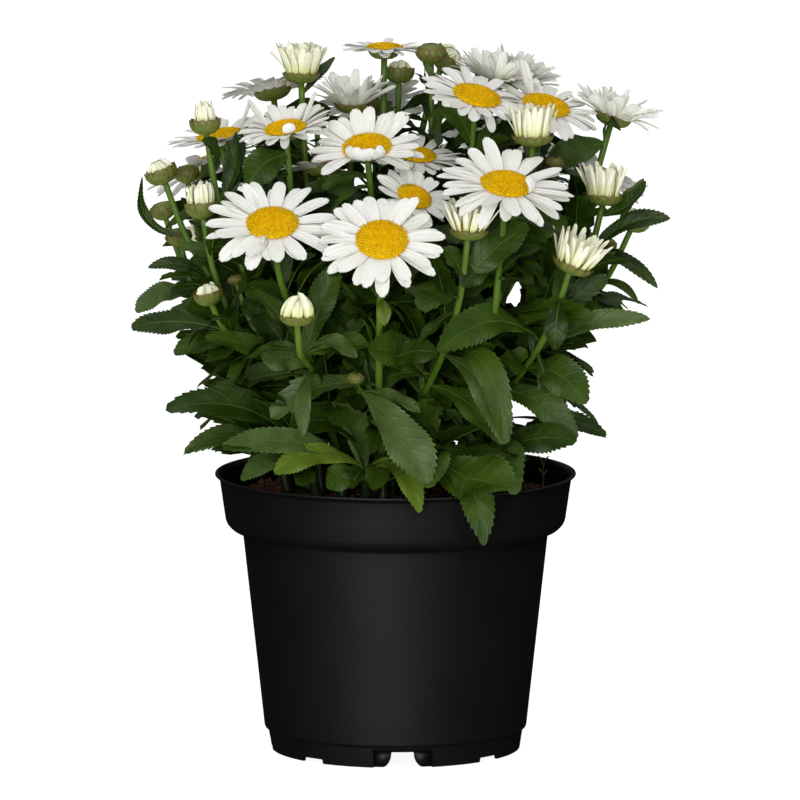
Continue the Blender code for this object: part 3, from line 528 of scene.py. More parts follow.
# %% Leaves that give the outline its furthest tips
KEY_LEAVES = (
    ("crown_02", 280, (-134, 0, 306), 6.5, -0.30),
    ("crown_03", 284, (-123, 18, 275), 6, 0.16),
    ("crown_02", 252, (-131, -6, 258), 9, 0.22),
    ("crown_02", 240, (-137, -6, 234), 14, 0.16),
    ("crown_01", 226, (-139, -36, 230), 15, 0.10),
    ("crown_01", 214, (-117, -20, 214), 12, 0.12),
    ("tuft", 158, (-120, -78, 192), 19, 0.18),
    ("tuft", 152, (-111, -52, 166), 12, 0.25),
    ("tuft", 154, (-90, -100, 175), 14, 0.16),
    ("tuft", 158, (17, -106, 155), 21, 0.30),
    ("tuft", 155, (46, -102, 124), 20, 0.42),
    ("tuft", 158, (63, -94, 150), 22, 0.28),
    ("crown_05", 216, (22, -90, 224), 15, 0.10),
    ("crown_06", 214, (57, -98, 178), 16, 0.30),
    ("tuft", 156, (95, -72, 175), 18, 0.16),
    ("crown_13", 222, (134, -40, 235), 12, 0.16),
    ("crown_15", 258, (139, 2, 246), 9, 0.22),
    ("crown_15", 244, (129, -2, 238), 5, 0.25),
    ("crown_13", 262, (145, -20, 286), 11, 0.10),
    ("crown_13", 280, (131, -10, 306), 9, -0.20),
    ("tuft", 160, (112, -4, 168), 12, 0.20),
    ("crown_11", 316, (25, -12, 347), 13, -0.10),
    ("crown_01", 300, (-84, -27, 333), 8, -0.12),
    ("crown_11", 340, (14, 17, 367), 5, -0.15),
    ("crown_17", 216, (-18, 142, 222), 14, 0.18),
    ("crown_18", 222, (66, 138, 232), 14, 0.18),
    ("crown_19", 226, (136, 78, 226), 13, 0.18),
    ("crown_20", 226, (-136, 62, 232), 13, 0.18),
    ("crown_21", 222, (-84, 134, 226), 14, 0.18),
)


def blade_width(share, fullness=1.7, point=0.75):
    """Share of the full width: a stalk that widens, then a blunt point; a lower fullness widens it earlier."""
    return np.clip(np.sin(math.pi * np.clip(share, 0, 1) ** fullness) ** point, 0.0, 1) * 0.97 + 0.03


def make_leaf(root, tip, width, arch, roll=0.0):
    """A leaf from its root to its tip; its middle line is drawn towards a point above by twice the arch."""
    chord = tip - root
    length = np.linalg.norm(chord)
    flat = np.array([chord[0], chord[1], 0.0])
    flat = flat / max(np.linalg.norm(flat), 1e-6)
    side = np.array([-flat[1], flat[0], 0.0])
    over = unit(np.cross(chord, side))
    over = over if over[2] > 0 else -over
    bow = (root + tip) / 2 + over * length * arch * 2
    return dict(root=root, tip=tip, bow=bow, width=width, side=side, roll=roll, length=length)


def midrib(leaf, share):
    """Points of the quadratic curve from root to tip, at shares of the way."""
    share = np.atleast_1d(share)[:, None]
    return (1 - share) ** 2 * leaf["root"] + 2 * share * (1 - share) * leaf["bow"] + share**2 * leaf["tip"]


def leaf_samples(leaf, first=0.22, rows=8, lines=(0, 1, -1)):
    """Points on the middle line and on both edges, which stand for the whole blade in tests of distance."""
    share = np.linspace(first, 1, rows)
    middle = midrib(leaf, share)
    ahead = unit(midrib(leaf, np.minimum(share + 0.02, 1)) - midrib(leaf, np.maximum(share - 0.02, 0)))
    up = unit(np.cross(ahead, leaf["side"]))
    up = up * np.where(up[:, 2:] < -0.2, -1, 1)
    across = unit(np.cross(up, ahead))
    across = across * math.cos(leaf["roll"]) + up * math.sin(leaf["roll"])
    half = (leaf["width"] / 2 * blade_width(share))[:, None]
    return np.concatenate([middle + line * across * half for line in lines])


# %% [markdown]
# Leaves must not pierce flowers, twigs or one another, and a mass of leaves keeps to its own space, which
# is every point nearer to its own twigs than to those of any other mass. Nearest points are looked up in
# trees, so a test of one leaf costs microseconds.


# %% What a leaf keeps clear of
def point_tree(points):
    """A tree in which the nearest of some points is found quickly."""
    tree = KDTree(len(points))
    for number, point in enumerate(points):
        tree.insert(point, number)
    tree.balance()
    return tree


def nearest(tree, points):
    """For each point, how far the nearest one in the tree is."""
    return np.array([tree.find(point)[2] for point in points])


def head_samples(head):
    """Points on the rim of a head, halfway to it and at its middle."""
    spin = np.radians(np.arange(0, 360, 30))
    round_it = spokes(head, spin)
    lift = 0.3 if head["kind"] in ("open", "bud") else 1.0
    rim = head["at"] + round_it * head["size"] + head["axis"] * head["size"] * 0.15 * lift
    return np.concatenate([rim, head["at"] + round_it * head["size"] * 0.5, [head["at"]]])


def claim_space(masses, tufts, key_leaves):
    """For each mass, a tree of its own points, on twigs, heads and outline leaves, and one of all others'."""
    points = []
    for mass in masses:
        claimed = []
        for twig in mass["twigs"]:
            steps = np.arange(0, arc_length(twig["path"])[-1], 5 * MM)
            claimed.append(np.array([point_along(twig["path"], s) for s in steps]))
            claimed.append(head_samples(twig["head"]))
        claimed.extend(leaf_samples(leaf, 0.3) for owner, leaf in key_leaves if owner == mass["name"])
        points.append(np.concatenate(claimed))
    for tuft in tufts:
        claimed = [np.linspace(tuft["foot"], tuft["top"], 4)]
        for rise in (8, 34, 60):
            rib = tuft["top"] + facing(90 - rise, tuft["outward"]) * TUFT_RIB * (1 if rise < 50 else 0.6)
            claimed.append(np.linspace(tuft["top"], rib, 12))
        claimed.extend(leaf_samples(leaf, 0.3) for owner, leaf in key_leaves if owner == tuft["name"])
        points.append(np.concatenate(claimed))
    space = {}
    for number, owner in enumerate(masses + tufts):
        others = np.concatenate(points[:number] + points[number + 1 :])
        space[owner["name"]] = (point_tree(points[number]), point_tree(others))
    return space


def off_the_pot(points):
    """For each point, whether it lies inside the reach and clear of the pot and the compost."""
    radius = np.linalg.norm(points[..., :2], axis=-1)
    z = points[..., 2]
    over_compost = (radius < BAND_TOP_RADIUS - 7.2 * MM) & (z > COMPOST_TOP + 2.2 * MM)
    outside = (radius > LIP_RADIUS + 1.5 * MM) & (z > 100 * MM)
    reach = np.interp(z / MM, REACH_HEIGHTS, REACHES) * MM
    return (radius <= reach) & (over_compost | (z > POT_HEIGHT + 2.5 * MM) | outside)


def off_the_head(points, head):
    """For each point, whether it lies outside the round space that a head takes up."""
    rise = (points - head["at"]) @ head["axis"]
    out = np.linalg.norm(points - head["at"] - rise[..., None] * head["axis"], axis=-1)
    top = HEAD_MARGIN + head["size"] * (0.2 if head["kind"] == "open" else 1.5)
    return (out >= head["size"] + HEAD_MARGIN) | (rise <= -CALYX_DEPTH - HEAD_MARGIN) | (rise >= top)


def stays_home(leaf, owner, space, limbs, own_heads, sisters):
    """Whether a leaf keeps to its mass's own space, off its heads and leaves, every limb and the pot."""
    samples = leaf_samples(leaf)
    if len(sisters) and np.linalg.norm(samples[:, None] - sisters[None], axis=2).min() < SISTER_MARGIN:
        return False
    if not off_the_pot(samples).all() or not all(off_the_head(samples, head).all() for head in own_heads):
        return False
    own_tree, other_tree = space[owner]
    other = nearest(other_tree, samples)
    if np.any(other < NEIGHBOUR_MARGIN) or np.any(other < nearest(own_tree, samples) + LEAF_MARGIN):
        return False
    return nearest(limbs, samples).min() > LIMB_MARGIN


# %% [markdown]
# Along a twig the leaves follow each other at the golden angle, 137.5 degrees, as on most plants. A leaf
# that would leave its space is raised, shortened or swung aside, and left out if nothing helps.


# %% Leaves by rule
def best_leaf(root, turn, rise, length, jitter, **tests):
    """The longest leaf near the wanted direction that stays home, rolled to face out of the plant, or None."""
    outward = math.atan2(root[1], root[0])
    for lift in (0, 18, 34):
        for share in (1.0, 0.8, 0.62):
            for swing in (0, 32, -32, 64, -64):
                size = length * share
                tip = root + facing(90 - min(rise + lift, 80), turn + swing) * size
                roll = LEAF_FACING * math.sin(math.radians(turn + swing) - outward) + ROLL_SPREAD * jitter
                leaf = make_leaf(root, tip, size * LEAF_ASPECT + LEAF_EXTRA_WIDTH, 0.13, roll)
                if stays_home(leaf, **tests):
                    return leaf
    return None


def sister_points(path):
    """Points along a twig that the leaves of its sisters keep clear of."""
    return np.array([point_along(path, step) for step in np.arange(0, arc_length(path)[-1], 4 * MM)])


def outward_turn(turn, root):
    """The same compass angle, turned half round where it would point back into the middle of the plant."""
    outward = math.degrees(math.atan2(root[1], root[0]))
    away = (turn - outward + 180) % 360 - 180
    return turn + 180 if abs(away) > 100 else turn


def leaf_length(z):
    """Leaves shorten from the foot of the plant to its top."""
    share = np.clip((z - LOW_LEAF_Z) / (HIGH_LEAF_Z - LOW_LEAF_Z), 0, 1)
    return mix(LOW_LEAF, HIGH_LEAF, share**0.8)


def outline_leaves(masses, tufts):
    """The given leaves, each rooted at the place on its mass that is nearest in height and in distance."""
    places = {mass["name"]: np.concatenate([twig["path"] for twig in mass["twigs"]]) for mass in masses}
    places.update({tuft["name"]: np.linspace(tuft["foot"], tuft["top"], 6) for tuft in tufts})
    key = []
    for name, height, tip, width, arch in KEY_LEAVES:
        tip = np.array(tip) * MM
        if name == "tuft":
            name = max(tufts, key=lambda tuft: unit(tuft["foot"][:2]) @ unit(tip[:2]))["name"]
        track = places[name]
        gaps = np.abs(track[:, 2] - height * MM) + 0.25 * np.linalg.norm(track - tip, axis=1)
        key.append((name, make_leaf(track[np.argmin(gaps)], tip, width * MM, arch)))
    return key


def grow_leaves(masses, tufts, key):
    """Every leaf that the rule sets along twigs and tufts, beside the outline's own."""
    limbs = np.concatenate([mass["stem"] for mass in masses])
    limbs = point_tree(np.concatenate([limbs, (limbs[1:] + limbs[:-1]) / 2]))
    space = claim_space(masses, tufts, key)
    grown = []

    def own_blades(owner):
        blades = [leaf_samples(leaf, 0.35) for name, leaf in key if name == owner]
        return np.concatenate([np.zeros((0, 3))] + blades)

    def take(leaf, blades):
        if leaf is None:
            return blades
        grown.append(leaf)
        return np.concatenate([blades, leaf_samples(leaf, 0.35)])

    for number, mass in enumerate(masses):
        rng = np.random.RandomState(SEED + number)
        blades = own_blades(mass["name"])
        own_heads = [twig["head"] for twig in mass["twigs"]]
        tests = dict(owner=mass["name"], space=space, limbs=limbs, own_heads=own_heads)
        for twig in mass["twigs"]:
            total = arc_length(twig["path"])[-1]
            others = [sister_points(other["path"]) for other in mass["twigs"] if other is not twig]
            turn = rng.uniform(0, 360)
            first = 5 * MM + rng.uniform(0, 0.5) * LEAF_SPACING
            for along in np.arange(first, total - BARE_NECK, LEAF_SPACING):
                jitter = rng.uniform(-1, 1, 3)
                root = point_along(twig["path"], along)
                turn = outward_turn(turn + GOLDEN_ANGLE, root)
                if np.linalg.norm(root[:2]) < HEART_RADIUS and jitter[0] < 0:
                    continue
                length = leaf_length(root[2]) * (1 + 0.16 * jitter[0])
                sisters = np.concatenate([blades] + others)
                sisters = sisters[np.linalg.norm(sisters - root, axis=1) > 9 * MM]
                rise = LEAF_RISE + RISE_SPREAD * jitter[1]
                leaf = best_leaf(root, turn, rise, length, jitter[2], **tests, sisters=sisters)
                blades = take(leaf, blades)
    for number, tuft in enumerate(tufts):
        rng = np.random.RandomState(SEED + 100 + number)
        blades = own_blades(tuft["name"])
        tests = dict(owner=tuft["name"], space=space, limbs=limbs, own_heads=[])
        for order in range(TUFT_LEAVES):
            jitter = rng.uniform(-1, 1, 4)
            share = (order + 0.5) / TUFT_LEAVES
            turn = tuft["outward"] + TUFT_FAN * math.sin(order * 2.4) + 8 * jitter[0]
            rise = mix(2, 64, share**0.9) + 6 * jitter[1]
            length = TUFT_LEAF * mix(1.0, 0.8, share) * (1 + 0.12 * jitter[2])
            root = mix(tuft["foot"], tuft["top"], mix(0.45, 0.95, share))
            leaf = best_leaf(root, turn, rise, length, jitter[3], **tests, sisters=blades)
            blades = take(leaf, blades)
    return grown


outline = outline_leaves(masses, tufts)
ruled = grow_leaves(masses, tufts, outline)
print(len(outline), "outline leaves and", len(ruled), "leaves by rule")

# %% [markdown]
# The face of the plant is composed: here are the leaves that an onlooker picks out one by one from the
# front, each from a place in the picture near its root to the place of its tip, with a depth for both. The
# root is then moved to the nearest limb, so that it grows from the plant and not from the air.

# %% Leaves that show from the front
# Root pixel and depth, tip pixel and depth, width in mm, arch, how far it turns to the onlooker, and tint.
FRONT_LEAVES = (
    ((343, 393, -72), (427, 484, -106), 25, 0.12, 0.8, "grey"),
    ((424, 458, -64), (513, 487, -110), 30, 0.04, 0.9, "mid"),
    ((337, 455, -76), (222, 447, -98), 15, 0.10, 0.8, "grey"),
    ((503, 425, -60), (576, 440, -64), 17, 0.12, 0.8, "mid"),
    ((560, 372, -46), (562, 434, -56), 15, 0.08, 0.8, "dark"),
    ((240, 380, -40), (197, 388, -50), 6, 0.05, 0.2, "dark"),
    ((238, 442, -60), (183, 455, -70), 7, 0.15, 0.3, "dark"),
    ((367, 462, -60), (327, 488, -79), 16, 0.04, 0.8, "mid"),
    ((350, 455, -50), (352, 489, -78), 14, 0.04, 0.8, "dark"),
    ((395, 464, -60), (372, 490, -80), 14, 0.05, 0.8, "mid"),
    ((303, 468, -44), (300, 486, -72), 12, 0.05, 0.7, "mid"),
    ((295, 412, -62), (205, 338, -74), 13, 0.10, 0.6, "mid"),
    ((272, 364, -60), (223, 337, -66), 9, 0.12, 0.5, "dark"),
    ((298, 352, -88), (243, 361, -84), 8, 0.15, 0.3, "mid"),
    ((300, 358, -90), (357, 358, -96), 12, 0.25, 0.4, "grey"),
    ((297, 324, -80), (369, 346, -88), 16, 0.12, 0.6, "mid"),
    ((315, 402, -70), (262, 360, -78), 19, 0.10, 0.9, "grey"),
    ((322, 425, -72), (352, 383, -80), 13, 0.10, 0.7, "mid"),
    ((450, 420, -66), (368, 349, -86), 22, 0.10, 0.9, "mid"),
    ((365, 380, -70), (420, 413, -84), 10, 0.12, 0.5, "grey"),
    ((528, 348, -50), (438, 352, -90), 21, 0.22, 0.8, "mid"),
    ((447, 362, -66), (505, 444, -96), 18, 0.15, 0.8, "grey"),
    ((423, 412, -66), (503, 445, -90), 17, 0.12, 0.7, "mid"),
    ((516, 380, -40), (586, 404, -62), 22, 0.20, 0.9, "mid"),
    ((552, 298, -52), (555, 350, -66), 13, 0.20, 0.7, "dark"),
    ((432, 300, -70), (418, 346, -88), 7, 0.10, 0.5, "dark"),
    ((372, 292, -80), (384, 326, -98), 8, 0.20, 0.4, "lime"),
    ((462, 282, -66), (529, 226, -74), 20, 0.10, 0.9, "mid"),
    ((504, 262, -60), (462, 287, -84), 14, 0.10, 0.7, "dark"),
    ((466, 275, -70), (443, 248, -82), 11, 0.10, 0.7, "mid"),
    ((458, 150, -12), (438, 98, -14), 14, 0.06, 0.9, "mid"),
    ((594, 140, 34), (547, 171, 22), 19, 0.12, 0.8, "grey"),
    ((603, 208, -10), (646, 181, -20), 11, -0.15, 0.6, "dark"),
    ((603, 146, 30), (621, 131, 20), 6, 0.45, 0.6, "dark"),
    ((318, 84, 24), (335, 57, 42), 6, 0.05, 0.7, "dark"),
    ((222, 165, -20), (202, 140, -30), 10, 0.30, 0.6, "dark"),
    ((405, 118, 16), (424, 56, 16), 8, -0.12, 0.5, "dark"),
    ((247, 205, -10), (240, 130, -10), 12, 0.06, 0.6, "dark"),
    ((290, 150, -16), (248, 186, -40), 20, 0.10, 0.9, "mid"),
    ((328, 474, -80), (275, 474, -97), 15, 0.12, 0.8, "lime"),
    ((388, 474, -84), (419, 513, -103), 14, 0.22, 0.6, "lime"),
    ((272, 457, -78), (241, 480, -96), 12, 0.12, 0.6, "grey"),
    ((290, 408, -66), (303, 436, -86), 9, 0.12, 0.5, "grey"),
    ((540, 395, -30), (599, 426, -25), 6, 0.08, 0.4, "dark"),
    ((520, 420, -10), (607, 438, 0), 6, 0.08, 0.3, "dark"),
    ((540, 360, -20), (594, 373, -30), 8, 0.10, 0.4, "dark"),
    ((540, 335, -30), (577, 345, -35), 8, 0.10, 0.4, "dark"),
    ((322, 335, -70), (340, 262, -74), 16, 0.06, 0.9, "mid"),
)


def turn_to(leaf, direction, amount):
    """Rolls a leaf so that its upper face turns towards a direction, by a share of the whole way."""
    ahead = unit(leaf["tip"] - leaf["root"])
    up = unit(np.cross(ahead, leaf["side"]))
    across = np.cross(up, ahead)
    leaf["roll"] = amount * math.atan2(-(direction @ across), direction @ up)
    return leaf


def limb_points(step):
    """Points along every stem, twig and tuft stem, from which leaves may grow."""
    def beads(path, first, last):
        return np.array([point_along(path, s) for s in np.arange(first, last, step)])

    paths = [twig["path"] for mass in masses for twig in mass["twigs"]]
    points = [beads(path, 0, arc_length(path)[-1] - 6 * MM) for path in paths]
    points += [beads(mass["stem"], 10 * MM, STEM_RISE) for mass in masses]
    points += [np.linspace(tuft["foot"] + [0, 0, 4 * MM], tuft["top"], 6) for tuft in tufts]
    return np.concatenate(points)


limbs = limb_points(2 * MM)
limb_tree = point_tree(limbs)
to_onlooker = unit(np.array([0.0, -1.0, 0.35]))
front, moved = [], []
for root, tip, width, arch, face, tint in FRONT_LEAVES:
    seat, _, gap = limb_tree.find(from_picture(*root))
    leaf = make_leaf(np.array(seat), from_picture(*tip), width * MM, arch)
    leaf["tint"] = tint
    front.append(turn_to(leaf, to_onlooker, face))
    moved.append(gap)
print("the roots of the front leaves moved", round(np.mean(moved) / MM), "mm on average to reach a limb")
# The leaf that hangs over the front of the pot leaves lower than its solid, under the broad leaf beside it.
for name, leaf in outline:
    if name == "tuft_05" and leaf["tip"][2] < 130 * MM:
        leaf.update(make_leaf(leaf["root"], leaf["tip"], leaf["width"], 0.33))
        leaf.update(tint="mid", point=1.0)
    turn_to(leaf, to_onlooker, 0.75 if leaf["tip"][1] < 60 * MM else 0.0)

# %% [markdown]
# A daisy in a pot is dense: behind the leaves that can be told apart are about a thousand more, which close
# the view to the middle. A second pass seeds them along all the limbs. A candidate is kept if it lies
# inside the plant's outline, clear of heads, limbs and the leaves kept before, and doesn't cover what was
# composed in front.

# %% Leaves that fill the plant
FILL_ROUNDS = 7
FILL_BATCH = 1500
FILL_MARGIN = 2.0 * MM
FILL_LIMB_MARGIN = 3.0 * MM
FILL_TOP = 372 * MM
RULE_MARGIN = 1.2 * MM
# Pixels to a side of one cell in the table of depths, and the first mass that stands behind.
CELL = 2
BACK_MASSES = 17
# How far from the axis the filling reaches at each height, in millimetres.
FILL_HEIGHTS = (140, 152, 200, 240, 300, 340, 372)
FILL_REACHES = (84, 112, 122, 124, 112, 92, 50)
# Patches of sky seen through the plant: left, top, right and bottom pixel.
SKY_GAPS = ((509, 402, 549, 423), (504, 284, 515, 311))
# Where the foliage ends at the left and the right of the picture: pixel row, left and right pixel.
SIDES = np.array([
    (0, 150, 660), (120, 150, 655), (200, 165, 645), (250, 152, 655), (300, 142, 640), (340, 165, 595),
    (360, 180, 592), (380, 198, 592), (400, 172, 588), (420, 180, 582), (440, 200, 575), (455, 214, 560),
    (465, 226, 540), (480, 245, 515), (500, 395, 500), (520, 410, 495), (548, 478, 495), (560, 480, 490),
])


def batch_samples(leaves):
    """The test points of many leaves in one array."""
    return np.array([leaf_samples(leaf) for leaf in leaves])


def inside_outline(samples):
    """For each leaf, whether all its points lie within the filling's reach and under its top."""
    limit = np.interp(samples[..., 2] / MM, FILL_HEIGHTS, FILL_REACHES) * MM
    radius = np.linalg.norm(samples[..., :2], axis=-1)
    return (radius < limit).all(axis=1) & (samples[..., 2] < FILL_TOP).all(axis=1)


def head_cover(head):
    """Points all over the room that a head takes up, as seen by the onlooker."""
    top = {"open": 0.15, "flared": 0.9, "brush": 1.7, "opening": 1.25, "bud": 0.6}[head["kind"]]
    rises = np.linspace(-0.2, top, 6)
    grid = np.meshgrid(np.linspace(0, 1, 12), full_turn(40), rises)
    share, turn, rise = (values.ravel() for values in grid)
    return head["at"] + head["size"] * (share[:, None] * spokes(head, turn) + rise[:, None] * head["axis"])


def mark_depth(table, points, spread):
    """Lowers the table to each point's depth, in its own cell and in those within the spread."""
    cells = np.round(to_picture(points) / CELL).astype(int)
    for right in range(-spread, spread + 1):
        for down in range(-spread, spread + 1):
            np.minimum.at(table, (cells[:, 1] + down, cells[:, 0] + right), points[:, 1])


def composed_depths():
    """For every cell of the picture, how near the composed part seen there is; where none is, infinity."""
    table = np.full((PICTURE // CELL + 2, PICTURE // CELL + 2), np.inf)
    for head in heads:
        if head["mass"] < BACK_MASSES:
            mark_depth(table, head_cover(head), 1)
    for leaf in front:
        mark_depth(table, leaf_samples(leaf, 0.15, 40, np.linspace(-1, 1, 11)), 1)
    for left, top, right, bottom in SKY_GAPS:
        table[top // CELL : bottom // CELL, left // CELL : right // CELL] = 9
    return table


def covers_nothing(samples):
    """Whether no point of a leaf is seen before what was composed, in a patch of sky or past the sides."""
    seen = to_picture(samples)
    cells = np.clip(np.round(seen / CELL).astype(int), 0, PICTURE // CELL)
    depth = depths[cells[..., 1], cells[..., 0]]
    hides = np.isfinite(depth) & (samples[..., 1] < depth + 2 * MM)
    left, right = (np.interp(seen[..., 1], SIDES[:, 0], SIDES[:, side]) for side in (1, 2))
    return ~(hides | (seen[..., 0] < left) | (seen[..., 0] > right)).any(axis=1)


def candidate_leaf(rng, root):
    """A leaf that points mostly outwards, shorter the higher it grows, and faces partly out of the plant."""
    out = math.degrees(math.atan2(root[1], root[0]))
    turn = out + rng.normal(0, 55)
    rise = rng.uniform(-18, 62)
    length = min(leaf_length(root[2]), 70 * MM) * rng.uniform(0.65, 1.15)
    tip = root + facing(90 - rise, turn) * length
    leaf = make_leaf(root, tip, length * rng.uniform(0.24, 0.33) + 2 * MM, rng.uniform(0.04, 0.2))
    outward = unit(np.array([root[0], root[1], 0.0]) / max(np.linalg.norm(root[:2]), MM) + [0, 0, 0.7])
    return turn_to(leaf, outward, rng.uniform(0.2, 0.9))


def clear_leaves(leaves, margin, taken):
    """Leaves that pass the tests, one after the other: each kept leaf's points join the taken ones."""
    samples = batch_samples(leaves)
    good = off_the_pot(samples).all(axis=1) & covers_nothing(samples)
    for head in heads:
        good &= off_the_head(samples, head).all(axis=1)
    kept = []
    tree = point_tree(np.concatenate(taken))
    fresh = np.zeros((0, 3))
    for number in np.flatnonzero(good):
        points = samples[number]
        if nearest(limb_tree, points[np.arange(len(points)) % 8 > 0]).min() < FILL_LIMB_MARGIN:
            continue
        blade = points[np.arange(len(points)) % 8 > 1]
        if nearest(tree, blade).min() < margin:
            continue
        if len(fresh) and np.linalg.norm(blade[:, None] - fresh[None], axis=2).min() < margin:
            continue
        kept.append(leaves[number])
        fresh = np.concatenate([fresh, blade])
    taken.append(fresh)
    return kept


depths = composed_depths()
taken = [leaf_samples(leaf, 0.3) for leaf in front] + [leaf_samples(leaf, 0.3) for _, leaf in outline]
regular = clear_leaves(ruled, RULE_MARGIN, taken)
filling = []
rng = np.random.RandomState(SEED + 500)
for _ in range(FILL_ROUNDS):
    picks = limbs[rng.randint(0, len(limbs), FILL_BATCH)]
    tries = [candidate_leaf(rng, root) for root in picks]
    inside = inside_outline(batch_samples(tries))
    filling += clear_leaves([leaf for leaf, fits in zip(tries, inside) if fits], FILL_MARGIN, taken)
print(len(front), "composed,", len(regular), "by rule and", len(filling), "filling leaves")

# %% [markdown]
# The blade of a shasta daisy leaf is a long tongue, widest past its middle low on the plant and nearer its
# base high up, with forward-pointing teeth. Two rows of points make a tooth: a low one at its foot and a
# high one near its point, slipped forward. The halves rise from the midrib in a shallow V and their margins
# wave.


# %% Leaf blades
TOOTH_SLIP = 0.38
MARGIN_WAVES = 2.1


def leaf_frames(leaves, share, twist):
    """Middle points and unit vectors ahead, across and up for every leaf, with its roll and a twist."""
    parts = ("root", "bow", "tip", "side")
    root, bow, tip, side = (np.array([leaf[part] for leaf in leaves])[:, None] for part in parts)
    s = share[None, :, None]
    middle = (1 - s) ** 2 * root + 2 * s * (1 - s) * bow + s**2 * tip
    ahead = unit((1 - s) * (bow - root) + s * (tip - bow))
    up = unit(np.cross(ahead, side))
    across = np.cross(up, ahead)
    roll = np.array([leaf["roll"] for leaf in leaves])[:, None] + twist[:, None] * (share[None] - 0.4)
    return middle, ahead, turned(across, up, roll), turned(up, -across, roll)


def tooth_rows(teeth, start=0.12):
    """Shares of the length for every row, and at each row 1 at the foot of a tooth and 0 near its point."""
    step = (1 - start) / (teeth + 0.35)
    feet = start + step * np.arange(teeth)
    share = np.sort(np.concatenate([[0, start * 0.5], feet, feet + 0.68 * step, [1]]))
    foot = np.isin(np.round(share, 6), np.round(feet, 6)).astype(float)
    return share, foot, step


def blade_grids(leaves, teeth, columns, seed, cut):
    """Grids of leaf blades: a V across the midrib, toothed and waving at the margins, curved to one side."""
    draw = np.random.RandomState(seed)
    count = len(leaves)
    share, foot, step = tooth_rows(teeth)
    width, length, height = (np.array([leaf[key] for leaf in leaves]) for key in ("width", "length", "root"))
    high = np.clip((height[:, 2] - 180 * MM) / (130 * MM), 0, 1)
    middle, ahead, across, up = leaf_frames(leaves, share, draw.uniform(-0.8, 0.8, count))
    full = mix(1.7, 1.2, high) + draw.uniform(-0.15, 0.15, count)
    outline = np.array([blade_width(share, f, leaf.get("point", 0.66)) for f, leaf in zip(full, leaves)])
    half = np.maximum(width[:, None] / 2 * outline, LEAF_STALK / 2 * (1 - share))
    depth = cut * np.clip((share - 0.15) / 0.2, 0, 1) * foot * (share < 0.97)
    t = np.linspace(1, -1, columns)
    edge = np.clip(np.abs(t) * 3 - 2, 0, 1)
    reach = half[:, :, None] * t * (1 - depth[None, :, None] * edge)
    slip = TOOTH_SLIP * step * length[:, None, None] * (1 - foot)[None, :, None] * edge
    slip = slip * (half > LEAF_STALK)[:, :, None]
    fold = draw.uniform(0.15, 0.50, count)[:, None, None]
    phase = draw.uniform(0, 6.3, (count, 1, 2))
    run = 2 * math.pi * MARGIN_WAVES * share[None, :, None]
    wave = np.where(t > 0, *(np.sin(run + phase[..., [half_number]]) for half_number in (0, 1)))
    quilt = (foot - 0.5)[None, :, None] * np.abs(t) * (1.15 - np.abs(t))
    lift = half[:, :, None] * (fold * np.abs(t) - 0.12 * t**2 + 0.20 * wave * t**2 - 0.10 * quilt)
    bend = draw.uniform(-0.05, 0.05, count)[:, None] * 4 * share * (1 - share) * length[:, None]
    line = middle + across * bend[..., None]
    points = line[:, :, None] + across[:, :, None] * reach[..., None] + up[:, :, None] * lift[..., None]
    return points + ahead[:, :, None] * slip[..., None], line, across, up


def rib_grids(line, across, up, width):
    """A diamond round the middle of each blade, wide and deep near the stalk and a hair near the tip."""
    share = np.linspace(0, 1, line.shape[1])
    thick = (0.16 + 0.021 * width / MM)[:, None] * (1 - 0.86 * share) * MM * (share < 0.999)
    around = np.array([(1.0, 0.28), (0.0, 0.55), (-1.0, 0.28), (0.0, -1.5)])
    thick = thick[:, :, None, None]
    return line[:, :, None] + thick * (around[:, :1] * across[:, :, None] + around[:, 1:] * up[:, :, None])


def leaf_pieces(name, leaves, tint, teeth, columns, seed, cut):
    """The blades of one tint; returns the grids of their midribs, which follow every row of the blade."""
    blades, line, across, up = blade_grids(leaves, teeth, columns, seed, cut)
    grid_piece(f"leaves_{name}", blades, LEAF_FINISHES[tint], CROWNS + TUFTS)
    return rib_grids(line, across, up, np.array([leaf["width"] for leaf in leaves]))


LEAF_TONES = dict(
    dark=((0.009, 0.024, 0.001), (0.026, 0.055, 0.003)),
    mid=((0.019, 0.046, 0.002), (0.044, 0.086, 0.006)),
    grey=((0.036, 0.070, 0.010), (0.072, 0.118, 0.028)),
    lime=((0.066, 0.116, 0.006), (0.120, 0.178, 0.018)),
)
LEAF_FINISHES = {}
for tint, (low, full) in LEAF_TONES.items():
    plain = finish(f"{tint} leaf", low, full, 14, 0.40, 0.14, 0.6, mottle=0.35, Specular_IOR_Level=0.25)
    pale = tuple(1.5 * value + 0.01 for value in full)
    LEAF_FINISHES[tint] = drawn(plain, 8, 0, -1.3, 5, 0.16, (*full, 0.30), (*pale, 0.40), 0.90)
rib_finish = finish("pale midrib", (0.050, 0.100, 0.010), (0.094, 0.160, 0.026), 9, 0.5, 0.05, 0.4,
                    Specular_IOR_Level=0.3)

shares = np.random.RandomState(SEED + 900).uniform(0, 1, len(regular) + len(filling))
background = {tint: [] for tint in LEAF_TONES}
for leaf, draw in zip(regular + filling, shares):
    young = draw > 0.95 and leaf["tip"][2] < 170 * MM
    background["dark" if draw < 0.60 else "mid" if draw < 0.92 else "lime" if young else "grey"].append(leaf)
show = [leaf for _, leaf in outline] + front
for number, leaf in enumerate(show):
    leaf.setdefault("tint", ("dark", "mid", "dark", "grey")[number % 4])
ribs, show_ribs = [], []
for number, (tint, leaves) in enumerate(background.items()):
    ribs.append(leaf_pieces(tint, leaves, tint, 7, 5, SEED + 910 + number, 0.17))
for number, tint in enumerate(LEAF_TONES):
    chosen = [leaf for leaf in show if leaf["tint"] == tint]
    show_ribs.append(leaf_pieces(f"show_{tint}", chosen, tint, 20, 9, SEED + 920 + number, 0.12))
grid_piece("midribs", ribs, rib_finish, CROWNS + TUFTS, closed=True)
